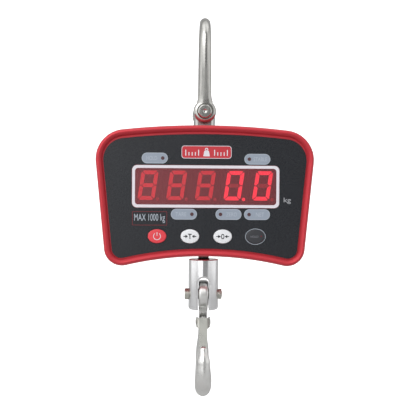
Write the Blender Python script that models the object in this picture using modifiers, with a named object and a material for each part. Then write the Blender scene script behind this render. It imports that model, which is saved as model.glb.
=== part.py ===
"""A digital crane scale for 1000 kg: a shackle above, a cast case round a load cell, a swivel hook below.

Metres, +Z up. The display faces -Y and +X is to its right. The origin is the point of the shackle's
bow that rests on the crane, so all the levels below it are negative.
"""

import math

import bmesh
import bpy
from mathutils import Matrix, Vector

# ------------------------------------------------------------------ driving dimensions
GAP = 0.0003                      # between two pieces that rest on each other

# levels
PIN_Z = -0.0884                   # the shackle pin's axis
CENTRE_Z = -0.1796                # the middle level of the case
HOOK_PIN_Z = -0.2782              # the hook pin's axis

# case outline, in its own frame: a bulging top, flanks that close downwards, an arched underside
TOP_RISE, TOP_RADIUS = 0.0750, 0.745
FLANK_X, FLANK_SLOPE = 0.1057, 0.10
ARCH_DROP, ARCH_RADIUS = 0.0566, 0.345
TOP_CORNER, LOW_CORNER = 0.030, 0.018
WALL = 0.003

# case depth
RIM_Y = -0.0470                   # the rim's crest
FLOOR_Y = -0.0422                 # the recess that takes the label
FRONT_WALL_Y = FLOOR_Y + WALL
PARTING_Y = 0.0170
REAR_Y = 0.0490
REAR_WALL_Y = REAR_Y - 0.004
GASKET = 0.0012

# label, window and display
LABEL_INSET = 0.0082
LABEL_THICKNESS = 0.0008
WINDOW_SIZE = (0.1474, 0.0425)
WINDOW_PLACE = (0.00075, 0.0134)
WINDOW_CORNER = 0.005
APERTURE_SIZE = (0.1446, 0.0374)
DIGIT_PITCH = 0.0287
DIGIT_HEIGHT = 0.0360
DIGIT_COUNT = 5
BOARD_Y = -0.0332                 # the display board's front face
BOARD_THICKNESS = 0.0016

# keys and indicators, in the case's frame as (x, z)
KEY_Z = -0.0364
KEY_FIRST_X, KEY_PITCH = -0.0477, 0.0328
KEY_HALF = (0.00925, 0.0070)
KEYS = ("power", "tare", "zero", "hold")
INDICATORS = {
    "hold": (-0.0424, 0.0416),
    "stable": (0.0442, 0.0411),
    "tare": (-0.0130, -0.0143),
    "zero": (0.0156, -0.0143),
    "mode": (0.0442, -0.0143),
}
LED_RADIUS = 0.0015

# fasteners of the case, in the case's frame as (x, z)
CASE_SCREWS = ((-0.093, 0.046), (-0.032, 0.064), (0.032, 0.064),
               (0.093, 0.046), (0.088, -0.050), (-0.088, -0.050))
SCREW_RADIUS, SCREW_HEAD_RADIUS = 0.0020, 0.0036
WELL_Y = 0.0300                   # floor of each screw's well

# battery, in the case's frame
BATTERY_X, BATTERY_WIDTH = 0.0565, 0.047
BATTERY_BACK_Y, BATTERY_DEPTH = 0.0416, 0.070
BATTERY_LOW_Z, BATTERY_HEIGHT = -0.050, 0.101
COVER_SIZE, COVER_PLACE = (0.056, 0.092), (0.057, 0.004)
COVER_THICKNESS = 0.0024
COVER_SCREW_Z = 0.0410            # from the cover's middle
SOCKET_PLACE = (-0.060, -0.038)
MAIN_BOARD_Y = 0.0180
BOARD_POSTS = ((-0.080, -0.036), (-0.042, -0.036), (-0.080, 0.044), (-0.042, 0.046))

# shackle
ROD_CROWN, ROD_EAR = 0.0055, 0.0068       # radius of the bow's rod
BOW_HALF = 0.0200                         # half the bow's clear width
JAW_HALF = 0.0094                         # half the clear width between the ears
EAR_RADIUS, EAR_THICKNESS = 0.01175, 0.0126
PIN_RADIUS = 0.0073

# load line
EYE_RADIUS, EYE_HALF_FLAT = 0.01125, 0.00865
CELL_TOP_Z, CELL_SIZE = -0.1183, (0.0508, 0.0254, 0.0720)
YOKE_SIZE = (0.044, 0.030, 0.039)
STEM_RADIUS = 0.0055
CLEVIS_RADIUS, CLEVIS_TOP, CLEVIS_LOW = 0.0157, 0.0368, -0.0162    # levels from the hook pin
SLOT_HALF, SLOT_TOP = 0.0061, 0.0182
HOOK_PIN_RADIUS = 0.00545
SPOT_FACE_X = 0.0152

# hook, in a frame on its pin as (y, z); angles run from straight up over the hook's back
HOOK_EYE_RADIUS, HOOK_EYE_HALF = 0.0145, 0.0049
BOWL_Z, BOWL_INNER = -0.068, 0.018
NECK_RISE, NECK_POWER = 0.029, 2.2
TIP_ANGLE, TIP_FLARE = 300.0, 0.0024
HOOK_DEPTH = ((0, 0.0070), (40, 0.0075), (90, 0.0092), (180, 0.0105), (225, 0.0095),
              (270, 0.0070), (300, 0.0046))
HOOK_WIDTH = ((0, 0.0046), (35, 0.0046), (90, 0.0070), (180, 0.0085), (225, 0.0085),
              (270, 0.0068), (300, 0.0044))
LATCH_PIVOT = (0.0045, -0.030)
LATCH_TOE_ANGLE, LATCH_TOE_RADIUS = 297.0, 0.0190
LATCH_OFFSET, LATCH_SHEET = 0.0059, 0.0014
LATCH_EAR_X = 0.0057
RIVET_RADIUS = 0.0023


# ------------------------------------------------------------------ scene, finishes and frames
def clear_scene():
    for item in list(bpy.data.objects):
        bpy.data.objects.remove(item, do_unlink=True)


def new_collection(name):
    group = bpy.data.collections.new(name)
    bpy.context.scene.collection.children.link(group)
    return group


def finish(name, colour, roughness, metallic=0.0):
    """A plain Principled finish."""
    look = bpy.data.materials.new(name)
    look.use_nodes = True
    shader = look.node_tree.nodes["Principled BSDF"]
    shader.inputs["Base Color"].default_value = (*colour, 1.0)
    shader.inputs["Roughness"].default_value = roughness
    shader.inputs["Metallic"].default_value = metallic
    look.diffuse_color = (*colour, 1.0)
    return look


clear_scene()
PARTS = new_collection("crane_scale")
TOOLS = new_collection("cutters")

FORGED = finish("forged_steel", (0.62, 0.61, 0.59), 0.34, 1.0)
POLISHED = finish("polished_steel", (0.72, 0.71, 0.70), 0.16, 1.0)
PLATED = finish("plated_sheet", (0.55, 0.55, 0.50), 0.38, 1.0)
RED_PAINT = finish("red_enamel", (0.60, 0.035, 0.050), 0.30)
BLACK_LABEL = finish("black_label", (0.045, 0.047, 0.054), 0.42)
RED_FILTER = finish("red_filter", (0.16, 0.030, 0.040), 0.12)
LIT_RED = finish("display_red", (0.85, 0.06, 0.09), 0.40)
CIRCUIT = finish("circuit_board", (0.03, 0.20, 0.08), 0.45)
RUBBER = finish("black_rubber", (0.02, 0.02, 0.02), 0.75)
BATTERY_CASE = finish("battery_case", (0.06, 0.06, 0.07), 0.55)
WHITE_KEY = finish("white_key", (0.82, 0.83, 0.86), 0.38)
RED_KEY = finish("red_key", (0.78, 0.07, 0.10), 0.38)
DARK_KEY = finish("dark_key", (0.05, 0.05, 0.06), 0.40)
SWITCH_BLACK = finish("switch_black", (0.03, 0.03, 0.03), 0.50)
CABLE_GREY = finish("cable_sheath", (0.08, 0.08, 0.08), 0.60)


def new_frame(name, place, parent=None, turn=(0.0, 0.0, 0.0)):
    """An empty that carries the pieces of one moving body."""
    frame = bpy.data.objects.new(name, None)
    frame.empty_display_size = 0.01
    frame.location = place
    frame.rotation_euler = turn
    frame.parent = parent
    PARTS.objects.link(frame)
    return frame


# ------------------------------------------------------------------ shapes
def from_bmesh(name, bm):
    """An object with the mesh, its faces pointing outwards and its round sides smooth."""
    bmesh.ops.recalc_face_normals(bm, faces=bm.faces)
    mesh = bpy.data.meshes.new(name)
    bm.to_mesh(mesh)
    bm.free()
    mesh.shade_smooth()
    mesh.set_sharp_from_angle(angle=math.radians(32))
    return bpy.data.objects.new(name, mesh)


def box(name, size):
    bm = bmesh.new()
    bmesh.ops.create_cube(bm, size=1.0)
    bmesh.ops.scale(bm, vec=size, verts=bm.verts)
    return from_bmesh(name, bm)


def rod(name, radius, length, axis, sides=16, stretch=1.0):
    """A cylinder on its middle. stretch widens an upright section into an ellipse along X."""
    bm = bmesh.new()
    bmesh.ops.create_cone(bm, cap_ends=True, segments=sides, radius1=radius, radius2=radius, depth=length)
    turn = {"X": Matrix.Rotation(math.pi / 2, 3, "Y"), "Y": Matrix.Rotation(math.pi / 2, 3, "X"),
            "Z": Matrix.Identity(3)}[axis]
    bmesh.ops.rotate(bm, cent=(0, 0, 0), matrix=turn, verts=bm.verts)
    bmesh.ops.scale(bm, vec=(stretch, 1.0, 1.0), verts=bm.verts)
    return from_bmesh(name, bm)


def turned(name, profile, steps, axis="Z"):
    """A solid of revolution. The profile lists (radius, height) down its outer side."""
    bm = bmesh.new()
    points = [bm.verts.new((radius, 0.0, height)) for radius, height in profile]
    for first, second in zip(points, points[1:]):
        bm.edges.new((first, second))
    if profile[0][0] > 0.0:
        bm.edges.new((points[-1], points[0]))
    mesh = bpy.data.meshes.new(name)
    bm.to_mesh(mesh)
    bm.free()
    item = bpy.data.objects.new(name, mesh)
    screw = item.modifiers.new("turn", "SCREW")
    screw.steps = screw.render_steps = steps
    screw.use_merge_vertices = True
    screw.merge_threshold = 0.00001
    if axis == "Y":
        item.rotation_euler = (-math.pi / 2, 0.0, 0.0)
    if axis == "X":
        item.rotation_euler = (0.0, math.pi / 2, 0.0)
    return item


def mesh_of(curve_item, name):
    """A curve's own solid as a mesh object, its caps welded."""
    PARTS.objects.link(curve_item)
    bpy.context.view_layer.update()
    solid = curve_item.evaluated_get(bpy.context.evaluated_depsgraph_get())
    bm = bmesh.new()
    bm.from_mesh(bpy.data.meshes.new_from_object(solid))
    bmesh.ops.transform(bm, matrix=curve_item.matrix_world, verts=bm.verts)
    bmesh.ops.remove_doubles(bm, verts=bm.verts, dist=0.000005)
    bpy.data.objects.remove(curve_item, do_unlink=True)
    return from_bmesh(name, bm)


def slab(name, outline, front_y, back_y):
    """A flat outline of (x, z) points, filled and given its thickness along Y."""
    curve = bpy.data.curves.new(name, "CURVE")
    curve.dimensions = "2D"
    curve.fill_mode = "BOTH"
    curve.extrude = (back_y - front_y) / 2
    line = curve.splines.new("POLY")
    line.points.add(len(outline) - 1)
    for point, (x, z) in zip(line.points, outline):
        point.co = (x, z, 0.0, 1.0)
    line.use_cyclic_u = True
    item = bpy.data.objects.new(name, curve)
    item.rotation_euler = (math.pi / 2, 0.0, 0.0)
    item.location = (0.0, (front_y + back_y) / 2, 0.0)
    return mesh_of(item, name)


def tube(name, points, radii, sides):
    """A round bar along the points, with its own radius at each."""
    curve = bpy.data.curves.new(name, "CURVE")
    curve.dimensions = "3D"
    curve.bevel_depth = 1.0
    curve.bevel_resolution = sides // 2 - 2
    curve.use_fill_caps = True
    line = curve.splines.new("POLY")
    line.points.add(len(points) - 1)
    for point, place, radius in zip(line.points, points, radii):
        point.co = (*place, 1.0)
        point.radius = radius
    return mesh_of(bpy.data.objects.new(name, curve), name)


def loft(name, rings, closed=False):
    """Skin over rings with equal numbers of points. An open row of rings is capped at both ends."""
    bm = bmesh.new()
    rows = [[bm.verts.new(point) for point in ring] for ring in rings]
    pairs = list(zip(rows, rows[1:]))
    if closed:
        pairs.append((rows[-1], rows[0]))
    else:
        bm.faces.new(rows[0])
        bm.faces.new(rows[-1])
    for first, second in pairs:
        for index in range(len(first)):
            after = (index + 1) % len(first)
            bm.faces.new((first[index], first[after], second[after], second[index]))
    return from_bmesh(name, bm)


def place(item, frame, where=(0.0, 0.0, 0.0)):
    item.parent = frame
    item.location = Vector(where)
    return item


def part(item, look, frame, where=(0.0, 0.0, 0.0)):
    """Puts a finished piece in its frame."""
    PARTS.objects.link(item)
    item.data.materials.clear()
    item.data.materials.append(look)
    return place(item, frame, where)


def cut(target, tool, frame, where=(0.0, 0.0, 0.0), operation="DIFFERENCE"):
    """Takes the tool's shape out of the target, or joins it on."""
    TOOLS.objects.link(tool)
    tool.hide_render = True
    tool.display_type = "WIRE"
    place(tool, frame, where)
    step = target.modifiers.new(tool.name, "BOOLEAN")
    step.operation = operation
    step.object = tool


def join(target, tool, frame, where=(0.0, 0.0, 0.0)):
    cut(target, tool, frame, where, "UNION")


def ease(knots, angle):
    """A value that eases from knot to knot, each knot an (angle, value) pair."""
    for (start, low), (end, high) in zip(knots, knots[1:]):
        if angle <= end:
            share = max(0.0, (angle - start) / (end - start))
            return low + (high - low) * share * share * (3.0 - 2.0 * share)
    return knots[-1][1]


def rounded_rectangle(width, height, radius, centre, steps=5):
    """Outline of (x, z) points."""
    points = []
    for quarter, (side_x, side_z) in enumerate(((1, 1), (-1, 1), (-1, -1), (1, -1))):
        hub_x = centre[0] + side_x * (width / 2 - radius)
        hub_z = centre[1] + side_z * (height / 2 - radius)
        for step in range(steps + 1):
            turn = math.pi / 2 * (quarter + step / steps)
            points.append((hub_x + radius * math.cos(turn), hub_z + radius * math.sin(turn)))
    return points


# ------------------------------------------------------------------ the case's outline
def flank_offset(distance):
    """The flank line moved inwards, as its x at z = 0."""
    return FLANK_X - distance * math.hypot(1.0, FLANK_SLOPE)


def corner_hub(circle_z, reach, corner):
    """Centre of a corner that touches the flank and a circle whose hub is on the middle line."""
    base = flank_offset(corner)
    a = 1.0 + FLANK_SLOPE ** 2
    b = 2.0 * (base * FLANK_SLOPE - circle_z)
    c = base ** 2 + circle_z ** 2 - reach ** 2
    z = (-b + math.sqrt(b * b - 4.0 * a * c)) / (2.0 * a)
    return base + FLANK_SLOPE * z, z


def arc(hub, radius, start, end, steps):
    return [(hub[0] + radius * math.cos(start + (end - start) * step / steps),
             hub[1] + radius * math.sin(start + (end - start) * step / steps))
            for step in range(steps + 1)]


def case_outline(inset):
    """The case's front outline of (x, z) points, moved inwards by inset. Same number of points always."""
    top_hub = (0.0, TOP_RISE - TOP_RADIUS)
    arch_hub = (0.0, -ARCH_DROP - ARCH_RADIUS)
    high = corner_hub(top_hub[1], TOP_RADIUS - TOP_CORNER, TOP_CORNER)
    low = corner_hub(arch_hub[1], ARCH_RADIUS + LOW_CORNER, LOW_CORNER)
    level = math.atan2(-FLANK_SLOPE, 1.0)
    high_turn = math.atan2(high[1] - top_hub[1], high[0])
    low_turn = math.atan2(arch_hub[1] - low[1], -low[0])
    arch_turn = math.atan2(low[1] - arch_hub[1], low[0])
    right = arc(low, LOW_CORNER - inset, low_turn, level, 5)
    right += arc(high, TOP_CORNER - inset, level, high_turn, 6)
    top = arc(top_hub, TOP_RADIUS - inset, high_turn, math.pi - high_turn, 10)[1:-1]
    left = [(-x, z) for x, z in reversed(right)]
    arch = arc(arch_hub, ARCH_RADIUS + inset, math.pi - arch_turn, arch_turn, 10)[1:-1]
    return right + top + left + arch


def case_rings(profile):
    """One ring for each (inset, y) of a profile."""
    return [[(x, y, z) for x, z in case_outline(inset)] for inset, y in profile]


def key_x(index):
    return KEY_FIRST_X + index * KEY_PITCH


# ------------------------------------------------------------------ shackle
def bow_half():
    """(y, z, radius) along one half of the bow's rod, from the crown to the ear."""
    wide = BOW_HALF + ROD_CROWN
    narrow = JAW_HALF + EAR_THICKNESS / 2
    hub_z = ROD_CROWN - wide
    quarter = wide * math.pi / 2
    leg = hub_z - PIN_Z
    stations = []
    for step in range(9):
        turn = math.pi / 2 * step / 8
        stations.append((wide * math.sin(turn), hub_z + wide * math.cos(turn), wide * turn))
    for step in range(1, 7):
        down = step / 6
        half = ease(((0.0, wide), (1.0, narrow)), down)
        stations.append((half, hub_z - leg * down, quarter + leg * down))
    whole = quarter + leg
    return [(y, z, ROD_CROWN + (ROD_EAR - ROD_CROWN) * along / whole) for y, z, along in stations]


def build_shackle(frame):
    right = bow_half()
    stations = [(-y, z, radius) for y, z, radius in reversed(right)] + right[1:]
    middles = [(0.0, y, z) for y, z, _ in stations]
    bow = tube("shackle_bow", middles, [radius for _, _, radius in stations], 12)
    for side in (-1, 1):
        ear = rod("shackle_ear", EAR_RADIUS, EAR_THICKNESS, "Y", 28)
        join(bow, ear, frame, (0.0, side * (JAW_HALF + EAR_THICKNESS / 2), PIN_Z))
    face = JAW_HALF + EAR_THICKNESS
    cut(bow, box("jaw_faces", (0.04, 2 * JAW_HALF, 0.028)), frame, (0.0, 0.0, PIN_Z - 0.001))
    for side in (-1, 1):
        cut(bow, box("ear_face", (0.04, 0.02, 0.028)), frame, (0.0, side * (face + 0.01), PIN_Z - 0.001))
    cut(bow, rod("shackle_bore", PIN_RADIUS + GAP, 0.08, "Y", 24), frame, (0.0, 0.0, PIN_Z))
    part(bow, FORGED, frame)

    seat, crest = face + GAP, face + GAP + 0.009
    pin = turned("shackle_pin", [(0.0, crest), (0.0105, crest), (0.0122, crest - 0.0012), (0.0122, seat),
                                 (PIN_RADIUS, seat), (PIN_RADIUS, -face), (PIN_RADIUS - 0.001, -face - 0.001),
                                 (0.0, -face - 0.001)], 24, "Y")
    part(pin, FORGED, frame, (0.0, 0.0, PIN_Z))


# ------------------------------------------------------------------ load line inside the case
def build_eye(frame):
    """The bar that the shackle's pin carries: round, milled flat on both sides, threaded below."""
    low = CELL_TOP_Z + GAP - PIN_Z
    eye = rod("upper_eye", EYE_RADIUS, -low, "Z", 28)
    join(eye, rod("eye_head", EYE_RADIUS, 2 * EYE_RADIUS, "Y", 28), frame)
    join(eye, rod("eye_thread", 0.008, 0.019, "Z", 16), frame, (0.0, 0.0, low - 0.0085))
    for side in (-1, 1):
        cut(eye, box("eye_flat", (0.04, 0.02, 0.04)), frame, (0.0, side * (EYE_HALF_FLAT + 0.01), 0.0038))
    cut(eye, rod("eye_bore", PIN_RADIUS + 2 * GAP, 0.06, "Y", 24), frame)
    part(eye, POLISHED, frame, (0.0, 0.0, low / 2))


def build_cell(frame):
    """An S-shaped load cell. Two slots and a window leave the beam that the gauges are on."""
    height = CELL_SIZE[2]
    middle = CELL_TOP_Z - height / 2 - PIN_Z
    cell = box("load_cell", CELL_SIZE)
    for side in (-1, 1):
        slot = box("cell_slot", (0.042, 0.04, 0.0032))
        cut(cell, slot, frame, (side * -0.010, 0.0, middle + side * 0.0165))
        thread = rod("cell_thread", 0.0083, 0.019, "Z", 16)
        cut(cell, thread, frame, (0.0, 0.0, middle + side * (height / 2 - 0.0085)))
    cut(cell, box("gauge_window", (0.024, 0.04, 0.018)), frame, (0.0, 0.0, middle))
    part(cell, POLISHED, frame, (0.0, 0.0, middle))


def ring(name, inner, outer, height, steps):
    """A flat ring on its middle."""
    half = height / 2
    return turned(name, [(outer, half), (outer, -half), (inner, -half), (inner, half)], steps)


def build_swivel_bearing(frame, swivel):
    """The yoke under the cell with the thrust bearing and the nut that hold the clevis."""
    height = YOKE_SIZE[2]
    top = CELL_TOP_Z - CELL_SIZE[2] - GAP - PIN_Z
    seat = top - 0.032
    yoke = box("swivel_yoke", YOKE_SIZE)
    cut(yoke, box("yoke_window", (0.032, 0.05, 0.024)), frame, (0.0, 0.0, seat + 0.012))
    join(yoke, rod("yoke_stud", 0.008, 0.018, "Z", 16), frame, (0.0, 0.0, top + 0.008))
    cut(yoke, rod("yoke_bore", STEM_RADIUS + 0.0008, 0.02, "Z", 20), frame, (0.0, 0.0, seat - 0.006))
    part(yoke, PLATED, frame, (0.0, 0.0, top - height / 2))

    race, balls = 0.0025, 0.0034
    low = seat + GAP
    lower_race = ring("lower_race", STEM_RADIUS + 0.0009, 0.013, race, 24)
    part(lower_race, POLISHED, frame, (0.0, 0.0, low + race / 2))
    middle = low + race + GAP + balls / 2
    cage = ring("ball_cage", STEM_RADIUS + 0.0012, 0.0125, 0.0010, 20)
    for index in range(8):
        ball = bpy.data.objects.new("bearing_ball", sphere_mesh(0.0016))
        turn = math.tau * index / 8
        join(cage, ball, frame, (0.0096 * math.cos(turn), 0.0096 * math.sin(turn), middle))
    part(cage, PLATED, frame, (0.0, 0.0, middle))

    lift = PIN_Z - HOOK_PIN_Z
    high = middle + balls / 2 + GAP
    part(ring("upper_race", STEM_RADIUS + GAP, 0.013, race, 24), POLISHED, swivel,
         (0.0, 0.0, high + race / 2 + lift))
    nut_height = 0.009
    nut = rod("stem_nut", 0.0110, nut_height, "Z", 6)
    nut_z = high + race + GAP + nut_height / 2 + lift
    cut(nut, rod("nut_bore", STEM_RADIUS + GAP, 0.03, "Z", 20), swivel, (0.0, 0.0, nut_z))
    part(nut, PLATED, swivel, (0.0, 0.0, nut_z))
    return nut_z + nut_height / 2 + 0.0015


def sphere_mesh(radius):
    bm = bmesh.new()
    bmesh.ops.create_uvsphere(bm, u_segments=8, v_segments=5, radius=radius)
    mesh = bpy.data.meshes.new("ball")
    bm.to_mesh(mesh)
    bm.free()
    return mesh


def build_seals(frame):
    """Rubber rings where the load line enters and leaves the case. Heights are in the case's frame."""
    inner = EYE_RADIUS + GAP
    lip = TOP_RISE + GAP
    part(turned("top_seal", [(0.0150, lip + 0.0010), (0.0150, lip), (0.0132, lip), (0.0132, lip - 0.0045),
                             (inner, lip - 0.0045), (inner, lip + 0.0010)], 24), RUBBER, frame)
    inner = STEM_RADIUS + GAP
    lip = -ARCH_DROP + WALL + 0.0010
    bottom = [(0.0150, lip), (0.0150, lip - 0.0007), (0.0132, lip - 0.0007),
              (0.0132, lip - 0.0050), (inner, lip - 0.0050), (inner, lip)]
    part(turned("bottom_seal", bottom, 24), RUBBER, frame)


# ------------------------------------------------------------------ case
def ellipse(name, half_width, half_height, depth, sides=20):
    """An elliptical bar along Y."""
    return rod(name, half_height, depth, "Y", sides, half_width / half_height)


def build_front_case(frame):
    edge = PARTING_Y - GASKET / 2 - GAP
    shell = loft("front_case", case_rings((
        (0.0080, FLOOR_Y), (0.0064, RIM_Y + 0.0008), (0.0044, RIM_Y), (0.0018, RIM_Y + 0.0018),
        (0.0, RIM_Y + 0.0075), (0.0, edge), (WALL, edge), (WALL, -0.0350), (0.0055, FRONT_WALL_Y))))
    for x, z in CASE_SCREWS:
        length = edge - FRONT_WALL_Y + 0.001
        join(shell, rod("screw_boss", 0.0045, length, "Y", 12), frame, (x, edge - length / 2, z))
    for x in (-0.078, 0.078):
        for z in (-0.036, 0.040):
            length = BOARD_Y - GAP - FRONT_WALL_Y + 0.001
            place_y = BOARD_Y - GAP - length / 2
            join(shell, rod("board_post", 0.003, length, "Y", 8), frame, (x, place_y, z))
    rib_back = CELL_SIZE[1] / 2
    for x in (-0.031, 0.031):
        join(shell, box("cell_rib", (0.007, 0.0105, 0.020)), frame, (x, rib_back - 0.00525, 0.0620))
    for x, z in CASE_SCREWS:
        cut(shell, rod("screw_hole", SCREW_RADIUS + GAP, 0.032, "Y", 8), frame, (x, edge - 0.0155, z))
    width, height = APERTURE_SIZE
    aperture = box("display_aperture", (width, 0.02, height))
    cut(shell, aperture, frame, (WINDOW_PLACE[0], -0.041, WINDOW_PLACE[1]))
    for index in range(len(KEYS)):
        hole = ellipse("key_hole", KEY_HALF[0] + 0.0004, KEY_HALF[1] + 0.0004, 0.02)
        cut(shell, hole, frame, (key_x(index), -0.041, KEY_Z))
    for x, z in INDICATORS.values():
        cut(shell, rod("led_hole", LED_RADIUS + GAP, 0.02, "Y", 8), frame, (x, -0.041, z))
    cut(shell, rod("eye_hole", 0.0135, 0.03, "Z", 24), frame, (0.0, 0.0, TOP_RISE))
    cut(shell, rod("stem_hole", 0.0135, 0.03, "Z", 24), frame, (0.0, 0.0, -ARCH_DROP))
    part(shell, RED_PAINT, frame)


def build_rear_case(frame):
    edge = PARTING_Y + GASKET / 2 + GAP
    shell = loft("rear_case", case_rings((
        (0.0120, REAR_Y), (0.0065, REAR_Y - 0.0015), (0.0020, REAR_Y - 0.0065), (0.0, REAR_Y - 0.0160),
        (0.0, edge), (WALL, edge), (WALL, REAR_Y - 0.0160), (0.0050, REAR_Y - 0.0085),
        (0.0085, REAR_WALL_Y))))
    for x, z in CASE_SCREWS:
        length = REAR_WALL_Y + 0.001 - edge
        join(shell, rod("screw_pillar", 0.0057, length, "Y", 12), frame, (x, edge + length / 2, z))
    for x, z in BOARD_POSTS:
        length = REAR_WALL_Y + 0.001 - MAIN_BOARD_Y - BOARD_THICKNESS - GAP
        join(shell, rod("board_post", 0.003, length, "Y", 8), frame, (x, REAR_WALL_Y + 0.001 - length / 2, z))
    for x, z in CASE_SCREWS:
        depth = REAR_Y - WELL_Y + 0.01
        well = rod("screw_well", SCREW_HEAD_RADIUS + GAP, depth, "Y", 12)
        cut(shell, well, frame, (x, WELL_Y + depth / 2, z))
        cut(shell, rod("screw_hole", SCREW_RADIUS + GAP, 0.03, "Y", 8), frame, (x, WELL_Y - 0.0145, z))
    width, height = COVER_SIZE
    x, z = COVER_PLACE
    for side in (-1, 1):
        boss_z = z + side * COVER_SCREW_Z
        join(shell, rod("cover_boss", 0.003, 0.0035, "Y", 10), frame, (x, REAR_WALL_Y - 0.00125, boss_z))
    recess = REAR_Y - COVER_THICKNESS - GAP
    cut(shell, box("cover_recess", (width + 2 * GAP, 0.02, height + 2 * GAP)), frame, (x, recess + 0.01, z))
    cut(shell, box("cover_opening", (width - 0.008, 0.02, height - 0.020)), frame, (x, REAR_Y, z))
    for side in (-1, 1):
        boss_z = z + side * COVER_SCREW_Z
        cut(shell, rod("cover_thread", 0.0015 + GAP, 0.02, "Y", 8), frame, (x, REAR_Y, boss_z))
    x, z = SOCKET_PLACE
    cut(shell, rod("socket_recess", 0.0080, 0.02, "Y", 24), frame, (x, REAR_Y + 0.0076, z))
    cut(shell, rod("socket_hole", 0.0055 + GAP, 0.04, "Y", 16), frame, (x, REAR_Y, z))
    part(shell, RED_PAINT, frame)


def build_case_fittings(frame):
    """The gasket between the halves, the screws, the battery's cover and the charging socket."""
    half = GASKET / 2
    gasket = loft("case_gasket", case_rings((
        (0.0004, PARTING_Y - half), (0.0004, PARTING_Y + half), (WALL - 0.0004, PARTING_Y + half),
        (WALL - 0.0004, PARTING_Y - half))), closed=True)
    part(gasket, RUBBER, frame)
    seat = WELL_Y + GAP
    profile = [(0.0, seat + 0.0022), (0.0017, seat + 0.0022), (0.0017, seat + 0.0040),
               (SCREW_HEAD_RADIUS, seat + 0.0040), (SCREW_HEAD_RADIUS, seat), (SCREW_RADIUS, seat),
               (SCREW_RADIUS, -0.0130), (0.0, -0.0130)]
    for number, (x, z) in enumerate(CASE_SCREWS, 1):
        part(turned(f"case_screw_{number}", profile, 8, "Y"), PLATED, frame, (x, 0.0, z))

    width, height = COVER_SIZE
    x, z = COVER_PLACE
    cover = slab("battery_cover", rounded_rectangle(width, height, 0.0002, (x, z), 1),
                 REAR_Y - COVER_THICKNESS, REAR_Y)
    head_seat = REAR_Y - 0.0012
    for side, name in ((-1, "lower_cover_screw"), (1, "upper_cover_screw")):
        screw_z = z + side * COVER_SCREW_Z
        counterbore = rod("cover_counterbore", 0.0030 + GAP, 0.01, "Y", 12)
        cut(cover, counterbore, frame, (x, head_seat + 0.005, screw_z))
        cut(cover, rod("cover_hole", 0.0015 + GAP, 0.02, "Y", 8), frame, (x, REAR_Y, screw_z))
        seat = head_seat + GAP
        screw = turned(name, [(0.0, seat + 0.0007), (0.0030, seat + 0.0007), (0.0030, seat), (0.0015, seat),
                              (0.0015, REAR_WALL_Y - 0.0025), (0.0, REAR_WALL_Y - 0.0025)], 12, "Y")
        part(screw, PLATED, frame, (x, 0.0, screw_z))
    part(cover, RED_PAINT, frame)

    x, z = SOCKET_PLACE
    face = REAR_Y - 0.0006
    seat = REAR_Y - 0.0024 + GAP
    profile = [(0.0, face - 0.0095), (0.0030, face - 0.0095), (0.0030, face), (0.0074, face),
               (0.0074, seat), (0.0055, seat), (0.0055, seat - 0.012), (0.0, seat - 0.012)]
    socket = turned("charge_socket", profile, 20, "Y")
    part(socket, SWITCH_BLACK, frame, (x, 0.0, z))


# ------------------------------------------------------------------ front panel and electronics
def build_panel(frame):
    label_back = FLOOR_Y - GAP
    label_front = label_back - LABEL_THICKNESS
    outline = case_rings(((LABEL_INSET + GAP, label_front), (LABEL_INSET + GAP, label_back)))
    label = loft("front_label", outline)
    width, height = WINDOW_SIZE
    opening = slab("window_opening", rounded_rectangle(width + 2 * GAP, height + 2 * GAP, WINDOW_CORNER + GAP,
                                                       WINDOW_PLACE), -0.05, -0.03)
    cut(label, opening, frame)
    for index in range(len(KEYS)):
        hole = ellipse("key_opening", KEY_HALF[0] + GAP, KEY_HALF[1] + GAP, 0.02)
        cut(label, hole, frame, (key_x(index), label_front, KEY_Z))
    part(label, BLACK_LABEL, frame)
    window = slab("display_window", rounded_rectangle(width, height, WINDOW_CORNER, WINDOW_PLACE),
                  label_front - 0.0002, label_back)
    part(window, RED_FILTER, frame)


def build_display(frame):
    depth = BOARD_Y - GAP - (FLOOR_Y + GAP)
    middle_y = (BOARD_Y + FLOOR_Y) / 2
    for index in range(DIGIT_COUNT):
        x = WINDOW_PLACE[0] + (index - (DIGIT_COUNT - 1) / 2) * DIGIT_PITCH
        digit = box(f"digit_{index + 1}", (DIGIT_PITCH - GAP, depth, DIGIT_HEIGHT))
        part(digit, LIT_RED, frame, (x, middle_y, WINDOW_PLACE[1]))
    for name, (x, z) in INDICATORS.items():
        part(rod(f"{name}_led", LED_RADIUS, depth, "Y", 8), LIT_RED, frame, (x, middle_y, z))
    board = box("display_board", (0.168, BOARD_THICKNESS, 0.0935))
    part(board, CIRCUIT, frame, (0.0, BOARD_Y + BOARD_THICKNESS / 2, 0.00325))
    for index, name in enumerate(KEYS):
        switch = box(f"{name}_switch", (0.006, 0.0025, 0.006))
        join(switch, rod("plunger", 0.0017, 0.0014, "Y", 10), frame,
             (key_x(index), BOARD_Y - GAP - 0.0027, KEY_Z))
        part(switch, SWITCH_BLACK, frame, (key_x(index), BOARD_Y - GAP - 0.00125, KEY_Z))


def build_keys(frame):
    """Each key is an elliptical cap with a flange behind the front wall."""
    crest = FLOOR_Y - GAP - LABEL_THICKNESS - 0.0010
    flange_y = FRONT_WALL_Y + GAP
    looks = (RED_KEY, WHITE_KEY, WHITE_KEY, DARK_KEY)
    for index, (name, look) in enumerate(zip(KEYS, looks)):
        depth = flange_y + 0.0005 - crest
        centre_y = crest + depth / 2
        key = ellipse(f"{name}_key", KEY_HALF[0], KEY_HALF[1], depth, 28)
        flange = ellipse("key_flange", KEY_HALF[0] + 0.0013, KEY_HALF[1] + 0.0013, 0.0010, 28)
        key_frame = new_frame(f"{name}_key_slide", (key_x(index), centre_y, KEY_Z), frame)
        join(key, flange, key_frame, (0.0, flange_y + 0.0005 - centre_y, 0.0))
        part(key, look, key_frame)


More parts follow.
